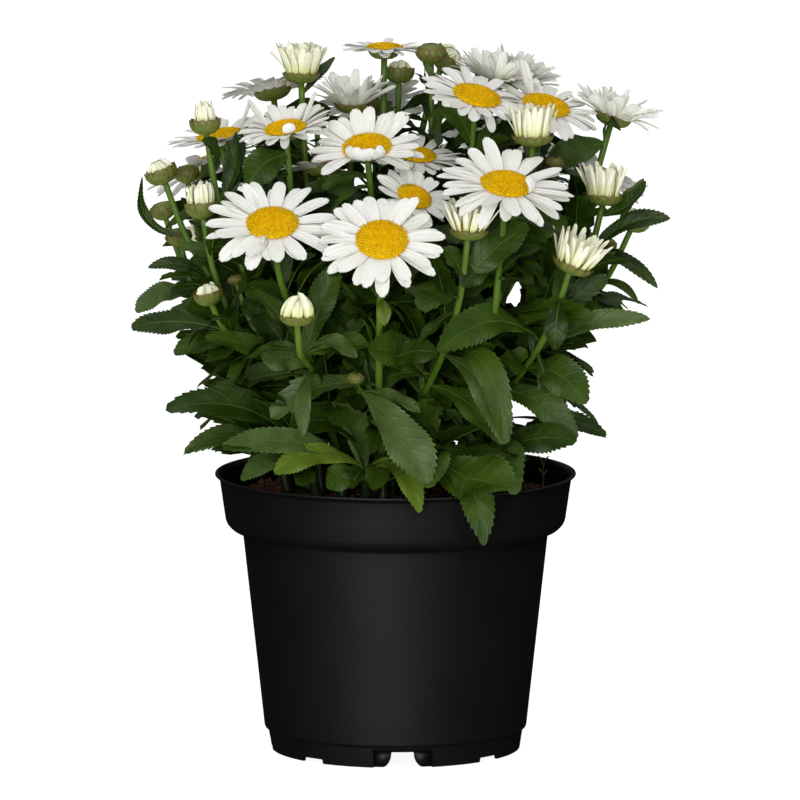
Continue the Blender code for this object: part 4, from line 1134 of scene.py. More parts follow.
grid_piece("midribs_show", show_ribs, rib_finish, CROWNS + TUFTS, closed=True)

# %% [markdown]
# Stems and twigs are tubes round smooth paths. The frame's paths have few points, so a finer one is drawn
# through them as a chain of cubics whose slopes come from the neighbouring points. Ten points round, every
# second one lower, give the shallow ribs of the living stalk.


# %% Stems and twigs
def smooth_path(path, count):
    """Points at even distances on the chain of cubics through a path."""
    lengths = arc_length(path)
    slope = np.gradient(path, lengths, axis=0)
    at = np.linspace(0, lengths[-1], count)
    low = np.clip(np.searchsorted(lengths, at, side="right") - 1, 0, len(path) - 2)
    span = (lengths[low + 1] - lengths[low])[:, None]
    t = (at - lengths[low])[:, None] / span
    start, end = path[low], path[low + 1]
    return ((1 + 2 * t) * (1 - t) ** 2 * start + t * (1 - t) ** 2 * span * slope[low]
            + t**2 * (3 - 2 * t) * end - t**2 * (1 - t) * span * slope[low + 1])


def tube_grid(path, radius, sides=10, rib=0.05):
    """Rings round a path, each at its radius, with every second point pressed in."""
    ahead = unit(np.gradient(path, axis=0))
    across = unit(np.cross(ahead, [0.0, 1.0, 0.15]))
    flat = turned(across[:, None], np.cross(ahead, across)[:, None], full_turn(sides))
    ribbed = 1 - rib * (np.arange(sides) % 2)
    return path[:, None] + np.asarray(radius)[:, None, None] * ribbed[None, :, None] * flat


def close_ends(grid):
    """Adds a ring shrunk to a point at both ends."""
    ends = [np.broadcast_to(end.mean(axis=1, keepdims=True), end.shape) for end in (grid[:1], grid[-1:])]
    return np.concatenate([ends[0], grid, ends[1]])


STEM_ROWS = 22
TWIG_ROWS = 20
TUFT_ROWS = 8
FLARE_FALL = 2.6 * MM
SIDE_TWIG_RADIUS = 1.9 * MM
NECK_RADIUS = 1.7 * MM
stem_grids, twig_grids, tuft_grids = [], [], []
for mass in masses:
    path = smooth_path(mass["stem"], STEM_ROWS)
    height = arc_length(path)
    flare = (STEM_FOOT_RADIUS - STEM_RADIUS) * np.exp(-height / FLARE_FALL)
    radius = flare + mix(STEM_RADIUS, STEM_TIP_RADIUS, height / height[-1])
    stem_grids.append(close_ends(tube_grid(path, radius)))
    for order, twig in enumerate(mass["twigs"]):
        path = smooth_path(twig["path"], TWIG_ROWS)
        path[0] -= unit(path[1] - path[0]) * (1.4 * MM if order == 0 else 0)
        small = min(1, mix(0.6, 1, twig["head"]["size"] / CALYX_RADIUS))
        thick = STEM_TIP_RADIUS if order == 0 else SIDE_TWIG_RADIUS
        twig_grids.append(close_ends(tube_grid(path, np.linspace(thick, NECK_RADIUS * small, TWIG_ROWS))))
for tuft in tufts:
    path = np.linspace(tuft["foot"] - [0, 0, MM], tuft["top"], TUFT_ROWS)
    tuft_grids.append(close_ends(tube_grid(path, np.linspace(3.4, 2.0, TUFT_ROWS) * MM)))
stalk_finish = finish("green stalk", (0.062, 0.130, 0.007), (0.106, 0.195, 0.019), 10, 0.42, 0.08, 0.5,
                      stretch=(1, 1, 0.3), Specular_IOR_Level=0.35)
# Painted shade: the stalks darken towards the compost, where the foot of the plant lies in shade.
painted_foot_shade(stalk_finish, 146, 200, (0.012, 0.020, 0.003))
grid_piece("stems", np.array(stem_grids), stalk_finish, STEMS, closed=True)
grid_piece("twigs", np.array(twig_grids), stalk_finish, CROWNS, closed=True)
grid_piece("tuft_stalks", np.array(tuft_grids), stalk_finish, TUFTS, closed=True)

# %% [markdown]
# A ray is a white tongue with two shallow grooves and a tip cut into three blunt teeth. Its middle line
# starts at the edge of the disc, or under it, at one angle and curls to another. Open heads carry two
# layers of wide flat rays. In young heads they are narrow, rolled into quills and stand up like a brush.
# Each head's own habit, such as rays that lift at the back or curl over the disc, is a row in a table.

# %% Rays
RAY_SHARES = np.array([0, 0.12, 0.28, 0.46, 0.64, 0.80, 0.91, 0.97, 1.0])
RAY_WIDTHS = np.array([0.55, 0.72, 0.88, 0.98, 1.0, 0.94, 0.82, 0.66, 0.40])
RAY_COLUMNS = np.linspace(1, -1, 7)
RAY_GROOVES = np.array([0, 0, -1, 0.5, -1, 0, 0]) * 0.10
RAY_TEETH = np.array([-0.3, 0.9, 0.3, 1.0, 0.3, 0.9, -0.3])


def ray_grids(head, turn, lift, curl, length, width, start, height, cup, bend=0.0, twist=0.0, notch=0.045):
    """Rays of one head: the middle line climbs by lift plus curl times the way, in degrees.

    Across it a cup and two grooves are raised, and the tip is pushed forward in three teeth.
    """
    given = (turn, lift, curl, length, width, bend, twist)
    turn, lift, curl, length, width, bend, twist = (np.broadcast_to(v, np.shape(turn))[:, None] for v in given)
    radial = spokes(head, turn)
    tangent = np.cross(head["axis"], radial)
    angle = np.radians(lift + curl * RAY_SHARES)
    step = length * np.diff(RAY_SHARES, prepend=0)
    out = start + np.cumsum(np.cos(angle) * step, axis=1)
    rise = height + np.cumsum(np.sin(angle) * step, axis=1)
    middle = head["at"] + out[..., None] * radial + rise[..., None] * head["axis"]
    middle = middle + (bend * length * RAY_SHARES**2)[..., None] * tangent
    forward, normal = turned(radial, head["axis"], angle), turned(head["axis"], -radial, angle)
    side, top = turned(tangent, normal, twist * RAY_SHARES), turned(normal, -tangent, twist * RAY_SHARES)
    half = (width / 2 * RAY_WIDTHS)[..., None]
    over = half * RAY_COLUMNS
    up = half * (cup * RAY_COLUMNS**2 + RAY_GROOVES)
    on = (notch * length * RAY_SHARES**8)[..., None] * RAY_TEETH
    rays = middle[:, :, None]
    for way, size in ((side, over), (top, up), (forward, on)):
        rays = rays + way[:, :, None] * size[..., None]
    return rays


# Open heads that aren't flat: mass and order, then the rays' mean lift and curl and how much more the rays at
# the back lift, in degrees, and how wide the rays are beside even shares of the rim.
PLAIN_HABIT = (10, -18, 6, 1.0)
OPEN_HABITS = {
    (3, 0): (14, -14, 14, 0.95), (4, 0): (9, -17, 4, 0.98), (5, 0): (8, -16, 4, 1.0),
    (6, 0): (12, -14, 8, 1.0), (7, 0): (22, -26, 26, 0.95), (7, 1): (18, -20, 0, 1.0),
    (8, 0): (10, -14, 32, 1.1), (8, 1): (14, -16, 6, 1.0), (9, 0): (42, -52, 0, 1.05),
    (10, 0): (17, -22, 8, 1.2), (11, 0): (12, -20, 12, 0.95), (12, 0): (9, -17, 18, 0.98),
    (14, 0): (8, -24, 8, 0.98),
}
RAY_LAYERS = (15, 14)
# The width of a ray, beside an even share of the rim of all layers together.
RAY_OVERLAP = 0.84 * 1.28
# Single rays that stand out: mass and order, direction in the picture (0 right, 90 up), lift and curl in
# degrees, length and width in millimetres, and where they start as a share of the disc's radius.
STRAY_RAYS = (
    (3, 0, 62, 58, 4, 16, 6, 0.95), (7, 0, 52, 52, 10, 17, 6, 0.95), (7, 0, 128, 48, 14, 17, 6, 0.95),
    (7, 0, 281, -8, 130, 8, 7, 1.05), (14, 0, 104, 56, -8, 19, 8, 0.95), (12, 0, 304, 30, 135, 11, 8, 1.06),
    (4, 0, 262, 74, -110, 9, 2.4, 1.0), (5, 0, 60, 24, -10, 19, 6, 0.9),
)
# Open heads with rays curled back over the disc: the directions in the picture between which they are.
CURLED_ARCS = {(8, 0): (238, 304)}
# Rings of rays in flared heads by crown mass: count, lift in degrees, start, length and width in millimetres.
FLARED_RINGS = {
    9: ((2, 50, 7.8, 16.5, 3.2), (16, 76, 8.0, 17.0, 4.4), (14, 81, 6.2, 17.0, 4.4), (9, 85, 3.6, 16.5, 4.2)),
    10: ((12, 44, 7.8, 18.5, 5.8), (12, 60, 6.4, 18.0, 5.4), (8, 76, 4.0, 16.0, 4.6)),
    15: ((14, 30, 7.8, 20.0, 6.6), (14, 48, 6.8, 19.0, 6.0), (10, 64, 5.0, 17.5, 5.2), (6, 78, 2.5, 15.0, 4.4)),
    16: ((14, 24, 7.8, 17.5, 6.4), (14, 44, 6.6, 17.5, 6.0), (10, 62, 4.8, 16.5, 5.2), (6, 78, 2.5, 15.0, 4.4)),
}
# The flared head that still has the colour of its bud.
YOUNG_FLARED = 9
# Brush heads in which the middle of the disc shows between the quills.
SHOWN_DISCS = (6, 12)
# Brush heads whose quills stand more upright, by this many degrees.
UPRIGHT_BRUSHES = {(12, 0): 9, (13, 1): 12}
# Rings of quills in brush heads: count, lift in degrees, start and length, both as shares.
BRUSH_RINGS = ((19, 66, 0.80, 1.0), (16, 75, 0.62, 0.94), (10, 83, 0.34, 0.82))
# Forms of opening buds by mass and order: rings of count, start, length, lift, curl and width; the lengths are
# shares of the bud.
BUD_DOME = ((17, 0.86, 1.12, 84, 74, 0.46), (11, 0.58, 1.02, 82, 64, 0.46), (5, 0.25, 0.84, 84, 20, 0.40))
BUD_CONE = ((14, 0.76, 1.50, 95, 8, 0.32), (9, 0.48, 1.62, 92, 2, 0.30), (4, 0.16, 1.65, 88, 0, 0.28))
BUD_SPLAYED = ((15, 0.74, 1.60, 77, 22, 0.36), (11, 0.50, 1.75, 84, 6, 0.34), (6, 0.22, 1.75, 88, 0, 0.32))
BUD_RIPE = ((18, 0.90, 1.62, 82, 74, 0.46), (12, 0.60, 1.35, 78, 68, 0.46), (6, 0.25, 1.05, 80, 20, 0.40))
BUD_FORMS = {(1, 0): BUD_SPLAYED, (1, 1): BUD_CONE, (4, 0): BUD_RIPE}


def picture_turn(head, degrees):
    """The turn about a head's axis whose ray is seen to point in a direction of the picture."""
    direction = turned(np.array([1.0, 0, 0]), PICTURE_UP, np.radians(degrees))
    return math.atan2(direction @ head["beside"], direction @ head["across"])


def spaced_turns(count, offset, draw, spread):
    """Turns of one ring of rays, each off its even place by up to a spread of the space between two."""
    return (np.arange(count) + offset + draw.uniform(-spread, spread, count)) * 2 * math.pi / count


def open_rays(head, draw):
    """Two layers of wide rays, the lower one between the gaps of the upper one, then the rays that stand out.

    A flat ray starts under the disc, at the cup's rim, and a steep or curled one near the disc's edge.
    """
    lift, curl, back, wide = OPEN_HABITS.get(head["key"], PLAIN_HABIT)
    behind = picture_turn(head, 90)
    arc_from, arc_to = (picture_turn(head, degrees) for degrees in CURLED_ARCS.get(head["key"], (0, 0)))
    full = wide * RAY_OVERLAP * 2 * math.pi * head["size"] / sum(RAY_LAYERS)
    layers = []
    for layer, count in enumerate(RAY_LAYERS):
        turn = spaced_turns(count, 0.5 * layer, draw, 0.14)
        curled = ((turn - arc_from) % (2 * math.pi) < (arc_to - arc_from) % (2 * math.pi)).astype(float)
        rise = lift - 3.5 * layer + back * np.clip(np.cos(turn - behind), 0, 1)
        rise = rise + draw.normal(0, 3, count) - 20 * curled
        start = disc_radius(head) * (0.74 + 0.22 * np.clip(rise / 40 + 0.4 * curled, 0, 1))
        length = (head["size"] + MM - start) * draw.uniform(0.86, 1.04, count) * (1 - 0.45 * curled)
        roll = curl + draw.normal(0, 9, count) + 152 * curled
        width = full * draw.uniform(0.86, 1.12, count) * (1 - 0.12 * curled)
        bend, twist = draw.normal(0, 0.04, count), draw.normal(0, 0.14, count)
        layers.append(ray_grids(head, turn, rise, roll, length, width, start[:, None],
                                -(0.9 + 0.6 * layer) * MM, 0.10, bend, twist))
    for *key, degrees, rise, roll, length, width, share in STRAY_RAYS:
        if tuple(key) == head["key"]:
            turn = np.array([picture_turn(head, degrees)])
            layers.append(ray_grids(head, turn, rise, roll, length * MM, width * MM, share * disc_radius(head),
                                    0.8 * MM, cup=0.2))
    return layers


def flared_rays(head, draw):
    """Rings of rays that stand the more upright the nearer they are to the middle."""
    rays = []
    loose = 0.5 if head["mass"] == YOUNG_FLARED else 1.0
    for count, lift, start, length, width in FLARED_RINGS[head["mass"]]:
        turn = spaced_turns(count, 0, draw, 0.3)
        rise, roll = lift + loose * draw.normal(0, 9, count), loose * draw.normal(-14, 14, count)
        length = length * MM * draw.uniform(0.80, 1.03, count)
        width = width * MM * draw.uniform(0.85, 1.1, count)
        bend, twist = draw.normal(0, 0.05, count), draw.normal(0, 0.4, count)
        rays.append(ray_grids(head, turn, rise, roll, length, width, start * MM, -0.4 * MM, 0.16, bend, twist))
    return rays


def brush_rays(head, draw):
    """Quills: narrow rolled rays, nearly upright, a little shorter towards the middle."""
    rays = []
    upright = UPRIGHT_BRUSHES.get(head["key"], 0)
    for count, lift, start, share in BRUSH_RINGS[: 2 if head["mass"] in SHOWN_DISCS else 3]:
        turn = spaced_turns(count, 0, draw, 0.35)
        length = head["size"] * 1.75 * share * draw.uniform(0.84, 1.0, count)
        rise, roll = np.minimum(lift + upright, 86) + draw.normal(0, 6, count), draw.normal(2, 12, count)
        rays.append(ray_grids(head, turn, rise, roll, length, length * 0.175, start * head["size"], -1.0 * MM,
                              cup=0.45, bend=draw.normal(0, 0.07, count), notch=0.02))
    return rays


def opening_rays(head, draw):
    """Folded rays from the cup: a dome bows in over the top, a cone stands, and a splayed bud is loose."""
    rays = []
    size = head["size"]
    for count, start, length, lift, curl, width in BUD_FORMS.get(head["key"], BUD_DOME):
        turn = spaced_turns(count, 0, draw, 0.25)
        rise, roll = lift + draw.normal(0, 5, count), curl + draw.normal(0, 8, count)
        length = size * length * draw.uniform(0.88, 1.05, count)
        rays.append(ray_grids(head, turn, rise, roll, length, size * width, start * size, -0.1 * size,
                              cup=-0.35, bend=draw.normal(0, 0.06, count), notch=0.03))
    return rays


RAYS_BY_KIND = dict(open=open_rays, flared=flared_rays, brush=brush_rays, opening=opening_rays)
white, fresh, cream = [], [], []
for number, head in enumerate(heads):
    if head["kind"] in RAYS_BY_KIND:
        rays = RAYS_BY_KIND[head["kind"]](head, np.random.RandomState(SEED + 1000 + number))
        # Flared heads, but for the young one, take the fresh finish: a brighter copy of the white, painted
        # light for the light their upright rays miss.
        flared = head["kind"] == "flared" and head["mass"] != YOUNG_FLARED
        (white if head["kind"] == "open" else fresh if flared else cream).extend(rays)
# Name, grids, dark and light tone, patch, grooves across, their depth, and the tones of groove, side and foot.
for name, grids, dark, light, patch, grooves, depth, ridge, edge, start, foot in (
    ("white", white, (0.78, 0.78, 0.71), (0.86, 0.86, 0.82), 6, 5, 0.16, (0.88, 0.88, 0.84, 0.4),
     (0.78, 0.78, 0.72, 0.3), 0.8, (0, 0, 0, 0)),
    # The fresh row: painted light, a white brighter than the open heads' own, with the green foot of young rays
    # as their real colour.
    ("fresh", fresh, (0.87, 0.87, 0.79), (0.94, 0.94, 0.89), 6, 5, 0.12, (0.94, 0.94, 0.90, 0.4),
     (0.86, 0.86, 0.78, 0.3), 0.8, (0.80, 0.82, 0.46, 0.6)),
    ("cream", cream, (0.83, 0.84, 0.58), (0.93, 0.93, 0.78), 5, 3, 0.12, (0.93, 0.93, 0.80, 0.4),
     (0.80, 0.82, 0.50, 0.3), 0.6, (0.66, 0.72, 0.16, 0.9)),
):
    plain = finish(f"{name} ray", dark, light, patch, 0.55, 0.03, 0.25, mottle=0.1, Specular_IOR_Level=0.3)
    grooved = drawn(plain, 0, grooves, 0, 1.5, depth, ridge, edge, start, foot)
    grid_piece(f"rays_{name}", grids, grooved, CROWNS)

# %% [markdown]
# The disc is hundreds of tiny tubular florets. They sit where sunflower seeds sit: each one turned by the
# golden angle from the last, at a distance that grows as a power of its number, a little above the square
# root that would give all equal room, because the middle ones are smaller. The outer ones are open cups,
# and the inner ones still closed beads in a shallow dimple.

# %% Discs
FLORETS = 340
FLORET_CROWDING = 0.58
FLORET_SIDES = 5
OPEN_FLORETS_FROM = 0.66
# Rings of a closed bead and of an open cup: radius and height, as shares of the floret's width.
BEAD_RINGS = np.array([[0.9, 0], [1.0, 0.4], [0.7, 0.85], [0, 1.0]])
CUP_RINGS = np.array([[0.7, 0], [0.85, 0.7], [1.1, 1.2], [0, 0.8]])


def dome(share, head):
    """Height of the disc over its edge at a share of its radius: a low dome with a dimple in the middle."""
    rise = 0.26 * disc_radius(head)
    return rise * np.clip(1 - share**2, 0, 1) ** 0.8 - 0.35 * rise * np.clip(1 - share / 0.42, 0, 1) ** 1.5


def floret_grids(head, count, draw):
    """Beads and cups on the dome; four rings each, the last shrunk to a point.

    Each stands square to the dome under it, as far as the slope at its place leans it outwards.
    """
    radius = disc_radius(head)
    number = np.arange(count) + 0.5
    share = (number / count) ** FLORET_CROWDING
    room = radius * share * np.sqrt(FLORET_CROWDING / number)
    turn = np.radians(GOLDEN_ANGLE) * np.arange(count)
    turn = turn + draw.uniform(-0.4, 0.4, count) * room / (share * radius)
    share = share + draw.uniform(-0.2, 0.2, count) * room / radius
    step = 1e-3
    slope_at = np.minimum(share, 1 - 4 * step)
    lean = -(dome(slope_at + step, head) - dome(slope_at - step, head)) / (2 * step * radius)
    foot = on_head(head, share * radius, turn, dome(np.minimum(share, 1), head) + 0.2 * MM)
    stand = unit(head["axis"] + 0.8 * lean[:, None] * spokes(head, turn))
    side = unit(np.cross(stand, head["beside"] + 0.01 * head["across"]))
    wide = 1.25 * np.minimum(room, 1.1 * MM) * draw.uniform(0.8, 1.15, count)
    is_open = share + draw.uniform(-0.06, 0.06, count) > OPEN_FLORETS_FROM
    rings = mix(BEAD_RINGS, CUP_RINGS, is_open.astype(float)[:, None, None])
    flat = turned(side[:, None], np.cross(stand, side)[:, None], full_turn(FLORET_SIDES))
    size = wide[:, None, None, None]
    grid = foot[:, None, None] + size * rings[:, :, 0, None, None] * flat[:, None]
    return grid + size * rings[:, :, 1, None, None] * stand[:, None, None], is_open


def dome_grid(head):
    """The floor under the florets: a skirt that tucks in under the edge, then the dome up to its middle."""
    share = np.array([0.80, 1.0, 0.85, 0.6, 0.35, 0.15, 0.0])[:, None]
    height = dome(share, head)
    height[0] = -0.5 * MM
    return on_head(head, disc_radius(head) * share, full_turn(24), height)


cups, beads, domes = [], [], []
for number, head in enumerate(heads):
    count = FLORETS if head["kind"] == "open" else FLORETS // 3
    if head["kind"] == "open" or head["kind"] == "brush" and head["mass"] in SHOWN_DISCS:
        florets, is_open = floret_grids(head, count, np.random.RandomState(SEED + 1100 + number))
        cups.append(florets[is_open])
        beads.append(florets[~is_open])
        domes.append(dome_grid(head))
gold_finish = finish("golden floret", (0.76, 0.42, 0.0008), (0.98, 0.68, 0.012), 2, 0.7, 0.04, 0.2,
                     Specular_IOR_Level=0.05)
amber_finish = finish("amber floret", (0.68, 0.36, 0.0006), (0.94, 0.60, 0.004), 2, 0.7, 0.04, 0.2,
                      Specular_IOR_Level=0.05)
grid_piece("florets_open", cups, gold_finish, CROWNS, closed=True)
grid_piece("florets_closed", beads, amber_finish, CROWNS, closed=True)
grid_piece("disc_floors", np.array(domes), amber_finish, CROWNS, closed=True)

# %% [markdown]
# Under every head is a green cup clothed in overlapping bracts with thin brown edges. Buds are closed by
# them to the top. Cup and bracts share one half outline: a bract is a strip laid along it, a little off the
# cup, and the brown edge is the same strip again, slightly larger and closer to the cup.

# %% Cups and bracts
CUP_DEPTH = 5.2 * MM
CUP_OUTLINE = np.array([(0.20, -1.0), (0.56, -0.92), (0.84, -0.64), (0.98, -0.28), (1.0, 0.0)])
YOUNG_OUTLINE = np.array([(0.22, -0.85), (0.60, -0.72), (0.90, -0.42), (1.02, -0.05), (0.97, 0.26)])
BUD_OUTLINE = np.array([(0.24, -0.85), (0.62, -0.66), (0.93, -0.30), (1.0, 0.0), (0.86, 0.30), (0.52, 0.54),
                        (0.0, 0.62)])
CUP_ROWS = 9
CUP_SIDES = 20
# Rows of bracts on buds and on cups: how many, and between which shares of the outline they lie.
BUD_BRACTS = ((13, 0.0, 0.42), (13, 0.18, 0.66), (13, 0.36, 0.90))
CUP_BRACTS = ((12, 0.0, 0.5), (12, 0.2, 0.76), (13, 0.42, 1.05))
BRACT_SHARES = np.array([0.0, 0.35, 0.7, 0.9, 1.0])
BRACT_WIDTHS = np.array([0.9, 1.0, 0.92, 0.62, 0.10])


def cup_outline(head):
    """Half outline of the cup in metres: radius and height over the middle of the disc.

    An open head's cup stays under its disc, so that it doesn't show between the rays.
    """
    if head["kind"] == "bud":
        return BUD_OUTLINE * head["size"]
    if head["kind"] == "opening" and BUD_FORMS.get(head["key"]) is not BUD_RIPE:
        return YOUNG_OUTLINE * head["size"] * 0.94
    open_radius = min(0.98 * CALYX_RADIUS, 0.76 * disc_radius(head))
    radius = {"open": open_radius, "flared": 0.95 * CALYX_RADIUS}.get(head["kind"], 0.94 * head["size"])
    sink = 1.0 * MM if head["kind"] == "open" else 0.0
    return CUP_OUTLINE * [min(radius, 0.9 * head["size"]), min(CUP_DEPTH, 0.85 * head["size"])] - [0, sink]


def cup_grid(head):
    """The outline turned round the head's axis and closed in the middle."""
    outline = cup_outline(head)
    along = np.linspace(0, 1, CUP_ROWS) * (len(outline) - 1)
    radius, height = (np.interp(along, np.arange(len(outline)), outline[:, k]) for k in (0, 1))
    lid = height[-1] + (0 if head["kind"] == "bud" else 0.4 * MM)
    radius, height = np.append(radius, 0.0)[:, None], np.append(height, lid)[:, None]
    return on_head(head, radius, full_turn(CUP_SIDES), height)


def bract_grids(head, draw, larger, off):
    """Strips along the cup's outline in rows that overlap, each narrowing to a point."""
    outline = cup_outline(head)
    bud = head["kind"] == "bud"
    lengths = np.linspace(0, 1, len(outline))
    widest = outline[:, 0].max()
    t = np.linspace(1, -1, 4)
    crown = 0.22 * MM * (1 - t**2)
    grids = []
    for row, (count, first, last) in enumerate(BUD_BRACTS if bud else CUP_BRACTS):
        turn = spaced_turns(count, 0.5 * row, draw, 0.1)
        reach = last + draw.uniform(-0.04, 0.04, count) + 0.05 * larger - first
        reach = reach[:, None] * BRACT_SHARES + first
        height = np.interp(reach, lengths, outline[:, 1]) + np.clip(reach - 1, 0, None) * widest
        height = height + (0.3 * MM * BRACT_SHARES if bud else 0)
        ease = off + 0.26 * MM * (2 - row if bud else row + 1) + 0.5 * MM * BRACT_SHARES**2
        radius = np.interp(reach, lengths, outline[:, 0]) + ease
        wide = math.pi / count * 1.08 * widest * (1 + 0.22 * larger)
        swing = wide * (BRACT_WIDTHS + 0.10 * larger) / np.maximum(radius, 1.2 * MM)
        angle = turn[:, None, None] + np.minimum(swing, 0.5)[:, :, None] * t
        grids.append(on_head(head, radius[:, :, None] + crown, angle, height[:, :, None]))
    return grids


bracts, margins, cup_grids, bud_grids = [], [], [], []
for number, head in enumerate(heads):
    (bud_grids if head["kind"] == "bud" else cup_grids).append(cup_grid(head))
    bracts += bract_grids(head, np.random.RandomState(SEED + 1200 + number), 0, 0.16 * MM)
    margins += bract_grids(head, np.random.RandomState(SEED + 1200 + number), 1, 0.02 * MM)
cup_finish = finish("green cup", (0.056, 0.095, 0.010), (0.105, 0.150, 0.024), 3, 0.5, 0.04, 0.3)
bract_finish = finish("green bract", (0.082, 0.125, 0.013), (0.155, 0.205, 0.032), 3, 0.5, 0.04, 0.3)
drawn(bract_finish, 0, 2, 0, 3, 0.10, (0.190, 0.250, 0.040, 0.4), (0.140, 0.075, 0.018, 0.45), 0.66)
margin_finish = finish("brown bract edge", (0.120, 0.062, 0.016), (0.230, 0.140, 0.042), 2, 0.6)
grid_piece("cups", np.array(cup_grids), cup_finish, CROWNS, closed=True)
grid_piece("bud_bodies", np.array(bud_grids), cup_finish, CROWNS, closed=True)
grid_piece("bracts", bracts, bract_finish, CROWNS)
grid_piece("bract_edges", margins, margin_finish, CROWNS)

# %% [markdown]
# The pot is blow-moulded: one turned outline with soft corners, a thin rolled lip, a deep band and a foot
# ring that is cut away in notches so that water can leave. Turning an outline gives all of it. The height
# of the foot then depends on the compass angle, which cuts the notches without any Boolean.

# %% Pot
# Corners of the outline as radius, height and rounding in millimetres, from the middle of the underside.
POT_CORNERS = (
    (0, 0, 0), (15, 0, 0.8), (15, 9.4, 0.8), (64.0, 9.4, 0.8), (64.2, 0, 0.5), (66.2, 0, 0.5),
    (67.8, 10.6, 0.4), (68.2, 11.6, 0.3), (69.4, 11.7, 0.4), (69.8, 12.5, 0.5), (81.2, 116.6, 0.5),
    (81.7, 117.6, 0.5),
    (86.6, 118.3, 1.0), (90.1, 121.6, 2.4), (93.5, 145.2, 0.7), (95.2, 146.4, 0.6), (96.0, 147.1, 0.5),
    (95.7, 148.0, 0.4), (93.9, 147.9, 0.6), (92.0, 146.2, 0.6), (88.4, 122.8, 2.0), (79.8, 117.2, 2.0),
    (67.8, 13.6, 1.0), (66.0, 11.7, 1.0), (0, 11.6, 0),
)
# Notches of the foot ring: width in degrees, height, and the compass angles of their middles.
LARGE_NOTCH = (27, 8.5 * MM, (-86.5, 93.5))
SMALL_NOTCH = (12, 2.4 * MM, (-131.5, -41.5, 3.5, 48.5, 138.5, 183.5))
NOTCH_SLOPE = 0.34
# The foot ring, which the notches cut, lies between these two radii and under this height.
FOOT_RADII = (62 * MM, 68.4 * MM)
FOOT_HEIGHT = 11 * MM
POT_COLUMNS = 180


def rounded(corners, steps=3):
    """A half outline whose corners are replaced by short quadratic curves of the given size."""
    corners = np.array(corners) * MM
    points = [corners[0, :2]]
    t = np.linspace(0, 1, steps + 1)[:, None]
    for before, here, after in zip(corners[:-2], corners[1:-1], corners[2:]):
        place, size = here[:2], here[2]
        into, out = before[:2] - place, after[:2] - place
        start = place + into * min(0.45, size / np.linalg.norm(into))
        end = place + out * min(0.45, size / np.linalg.norm(out))
        points.extend((1 - t) ** 2 * start + 2 * t * (1 - t) * place + t**2 * end)
    points.append(corners[-1, :2])
    return np.array(points)


def split_long(outline, longest=12 * MM):
    """Adds points along the long runs, so that the faces of the wall stay near square."""
    points = [outline[0]]
    for start, end in zip(outline[:-1], outline[1:]):
        parts = max(1, math.ceil(np.linalg.norm(end - start) / longest))
        points.extend(start + (end - start) * (k + 1) / parts for k in range(parts))
    return np.array(points)


def notch_heights(angles):
    """Height of the foot at each angle in degrees: a notch's own inside it, with a slope at its sides."""
    height = np.zeros_like(angles)
    for width, rise, turns in (LARGE_NOTCH, SMALL_NOTCH):
        for turn in turns:
            away = np.abs((angles - turn + 180) % 360 - 180)
            height = np.maximum(height, rise * np.clip((width / 2 - away) / NOTCH_SLOPE + 0.5, 0, 1))
    return height


def pot_angles():
    """Even angles, and four close together at each side of every notch."""
    angles = list(np.arange(POT_COLUMNS) * 360 / POT_COLUMNS)
    steps = (-0.6, -0.18, 0.18, 0.6)
    for width, _, turns in (LARGE_NOTCH, SMALL_NOTCH):
        for turn in turns:
            angles += [turn + side * width / 2 + step for side in (-1, 1) for step in steps]
    return np.unique(np.round(np.array(angles) % 360, 3))


outline_points = split_long(rounded(POT_CORNERS))
angles = pot_angles()
radius, height = outline_points[:, :1], outline_points[:, 1:]
in_foot = (radius > FOOT_RADII[0]) & (radius < FOOT_RADII[1]) & (height < FOOT_HEIGHT)
lifted = np.where(in_foot, np.maximum(height, notch_heights(angles)), height)
pot_grid = revolve(radius, np.radians(angles), lifted)
plastic_finish = finish("satin black plastic", (0.0014, 0.0014, 0.0016), (0.0023, 0.0023, 0.0025), 30, 0.54,
                        0.012, 0.6, Specular_IOR_Level=0.45)
pot = grid_piece("pot_shell", pot_grid[None], plastic_finish, ["pot"], closed=True)
pot.data.set_sharp_from_angle(angle=math.radians(50))

# %% [markdown]
# Just inside each large notch a second, thinner skirt leaves a narrower opening with rounded shoulders.
# Each shoulder is a curved plate: at every angle it is a small upright rectangle whose lower edge climbs
# along a quarter circle, and both its ends shrink to a point.


# %% Shoulders behind the notches
SHOULDER_RADII = (63.6 * MM, 63.6 * MM, 61.4 * MM, 61.4 * MM)
SHOULDER_FROM = 5.2
SHOULDER_TO = 14.2
SHOULDER_ROUND = 4.6
SHOULDER_CLIMB = 9.2 * MM
SHOULDER_TOP = 9.6 * MM


def shoulder_grid(middle, side):
    """Rectangles round the ring from SHOULDER_FROM to SHOULDER_TO degrees off the middle of a notch."""
    away = np.concatenate([np.linspace(SHOULDER_FROM, SHOULDER_FROM + SHOULDER_ROUND, 9), [SHOULDER_TO]])
    climb = np.clip((away - SHOULDER_FROM) / SHOULDER_ROUND, 0, 1)
    low = SHOULDER_CLIMB * (1 - np.sqrt(1 - (1 - climb) ** 2))
    high = np.full_like(low, SHOULDER_TOP)
    level = np.stack([low, high, high, low], axis=-1)
    ring = revolve(np.array(SHOULDER_RADII), np.radians(middle + side * away)[:, None], level)
    return close_ends(ring if side > 0 else ring[::-1])


shoulders = np.array([shoulder_grid(turn, side) for turn in LARGE_NOTCH[2] for side in (-1, 1)])
grid_piece("notch_shoulders", shoulders, plastic_finish, ["pot"], closed=True)

# %% [markdown]
# Peat compost is dark, reddish and crumbly. The bed is a turned surface that follows the frame's filling,
# with lumps from a few crossed waves on its top. Loose crumbs are small uneven balls that lie on it, and
# fibres are hair-thin bent tubes.

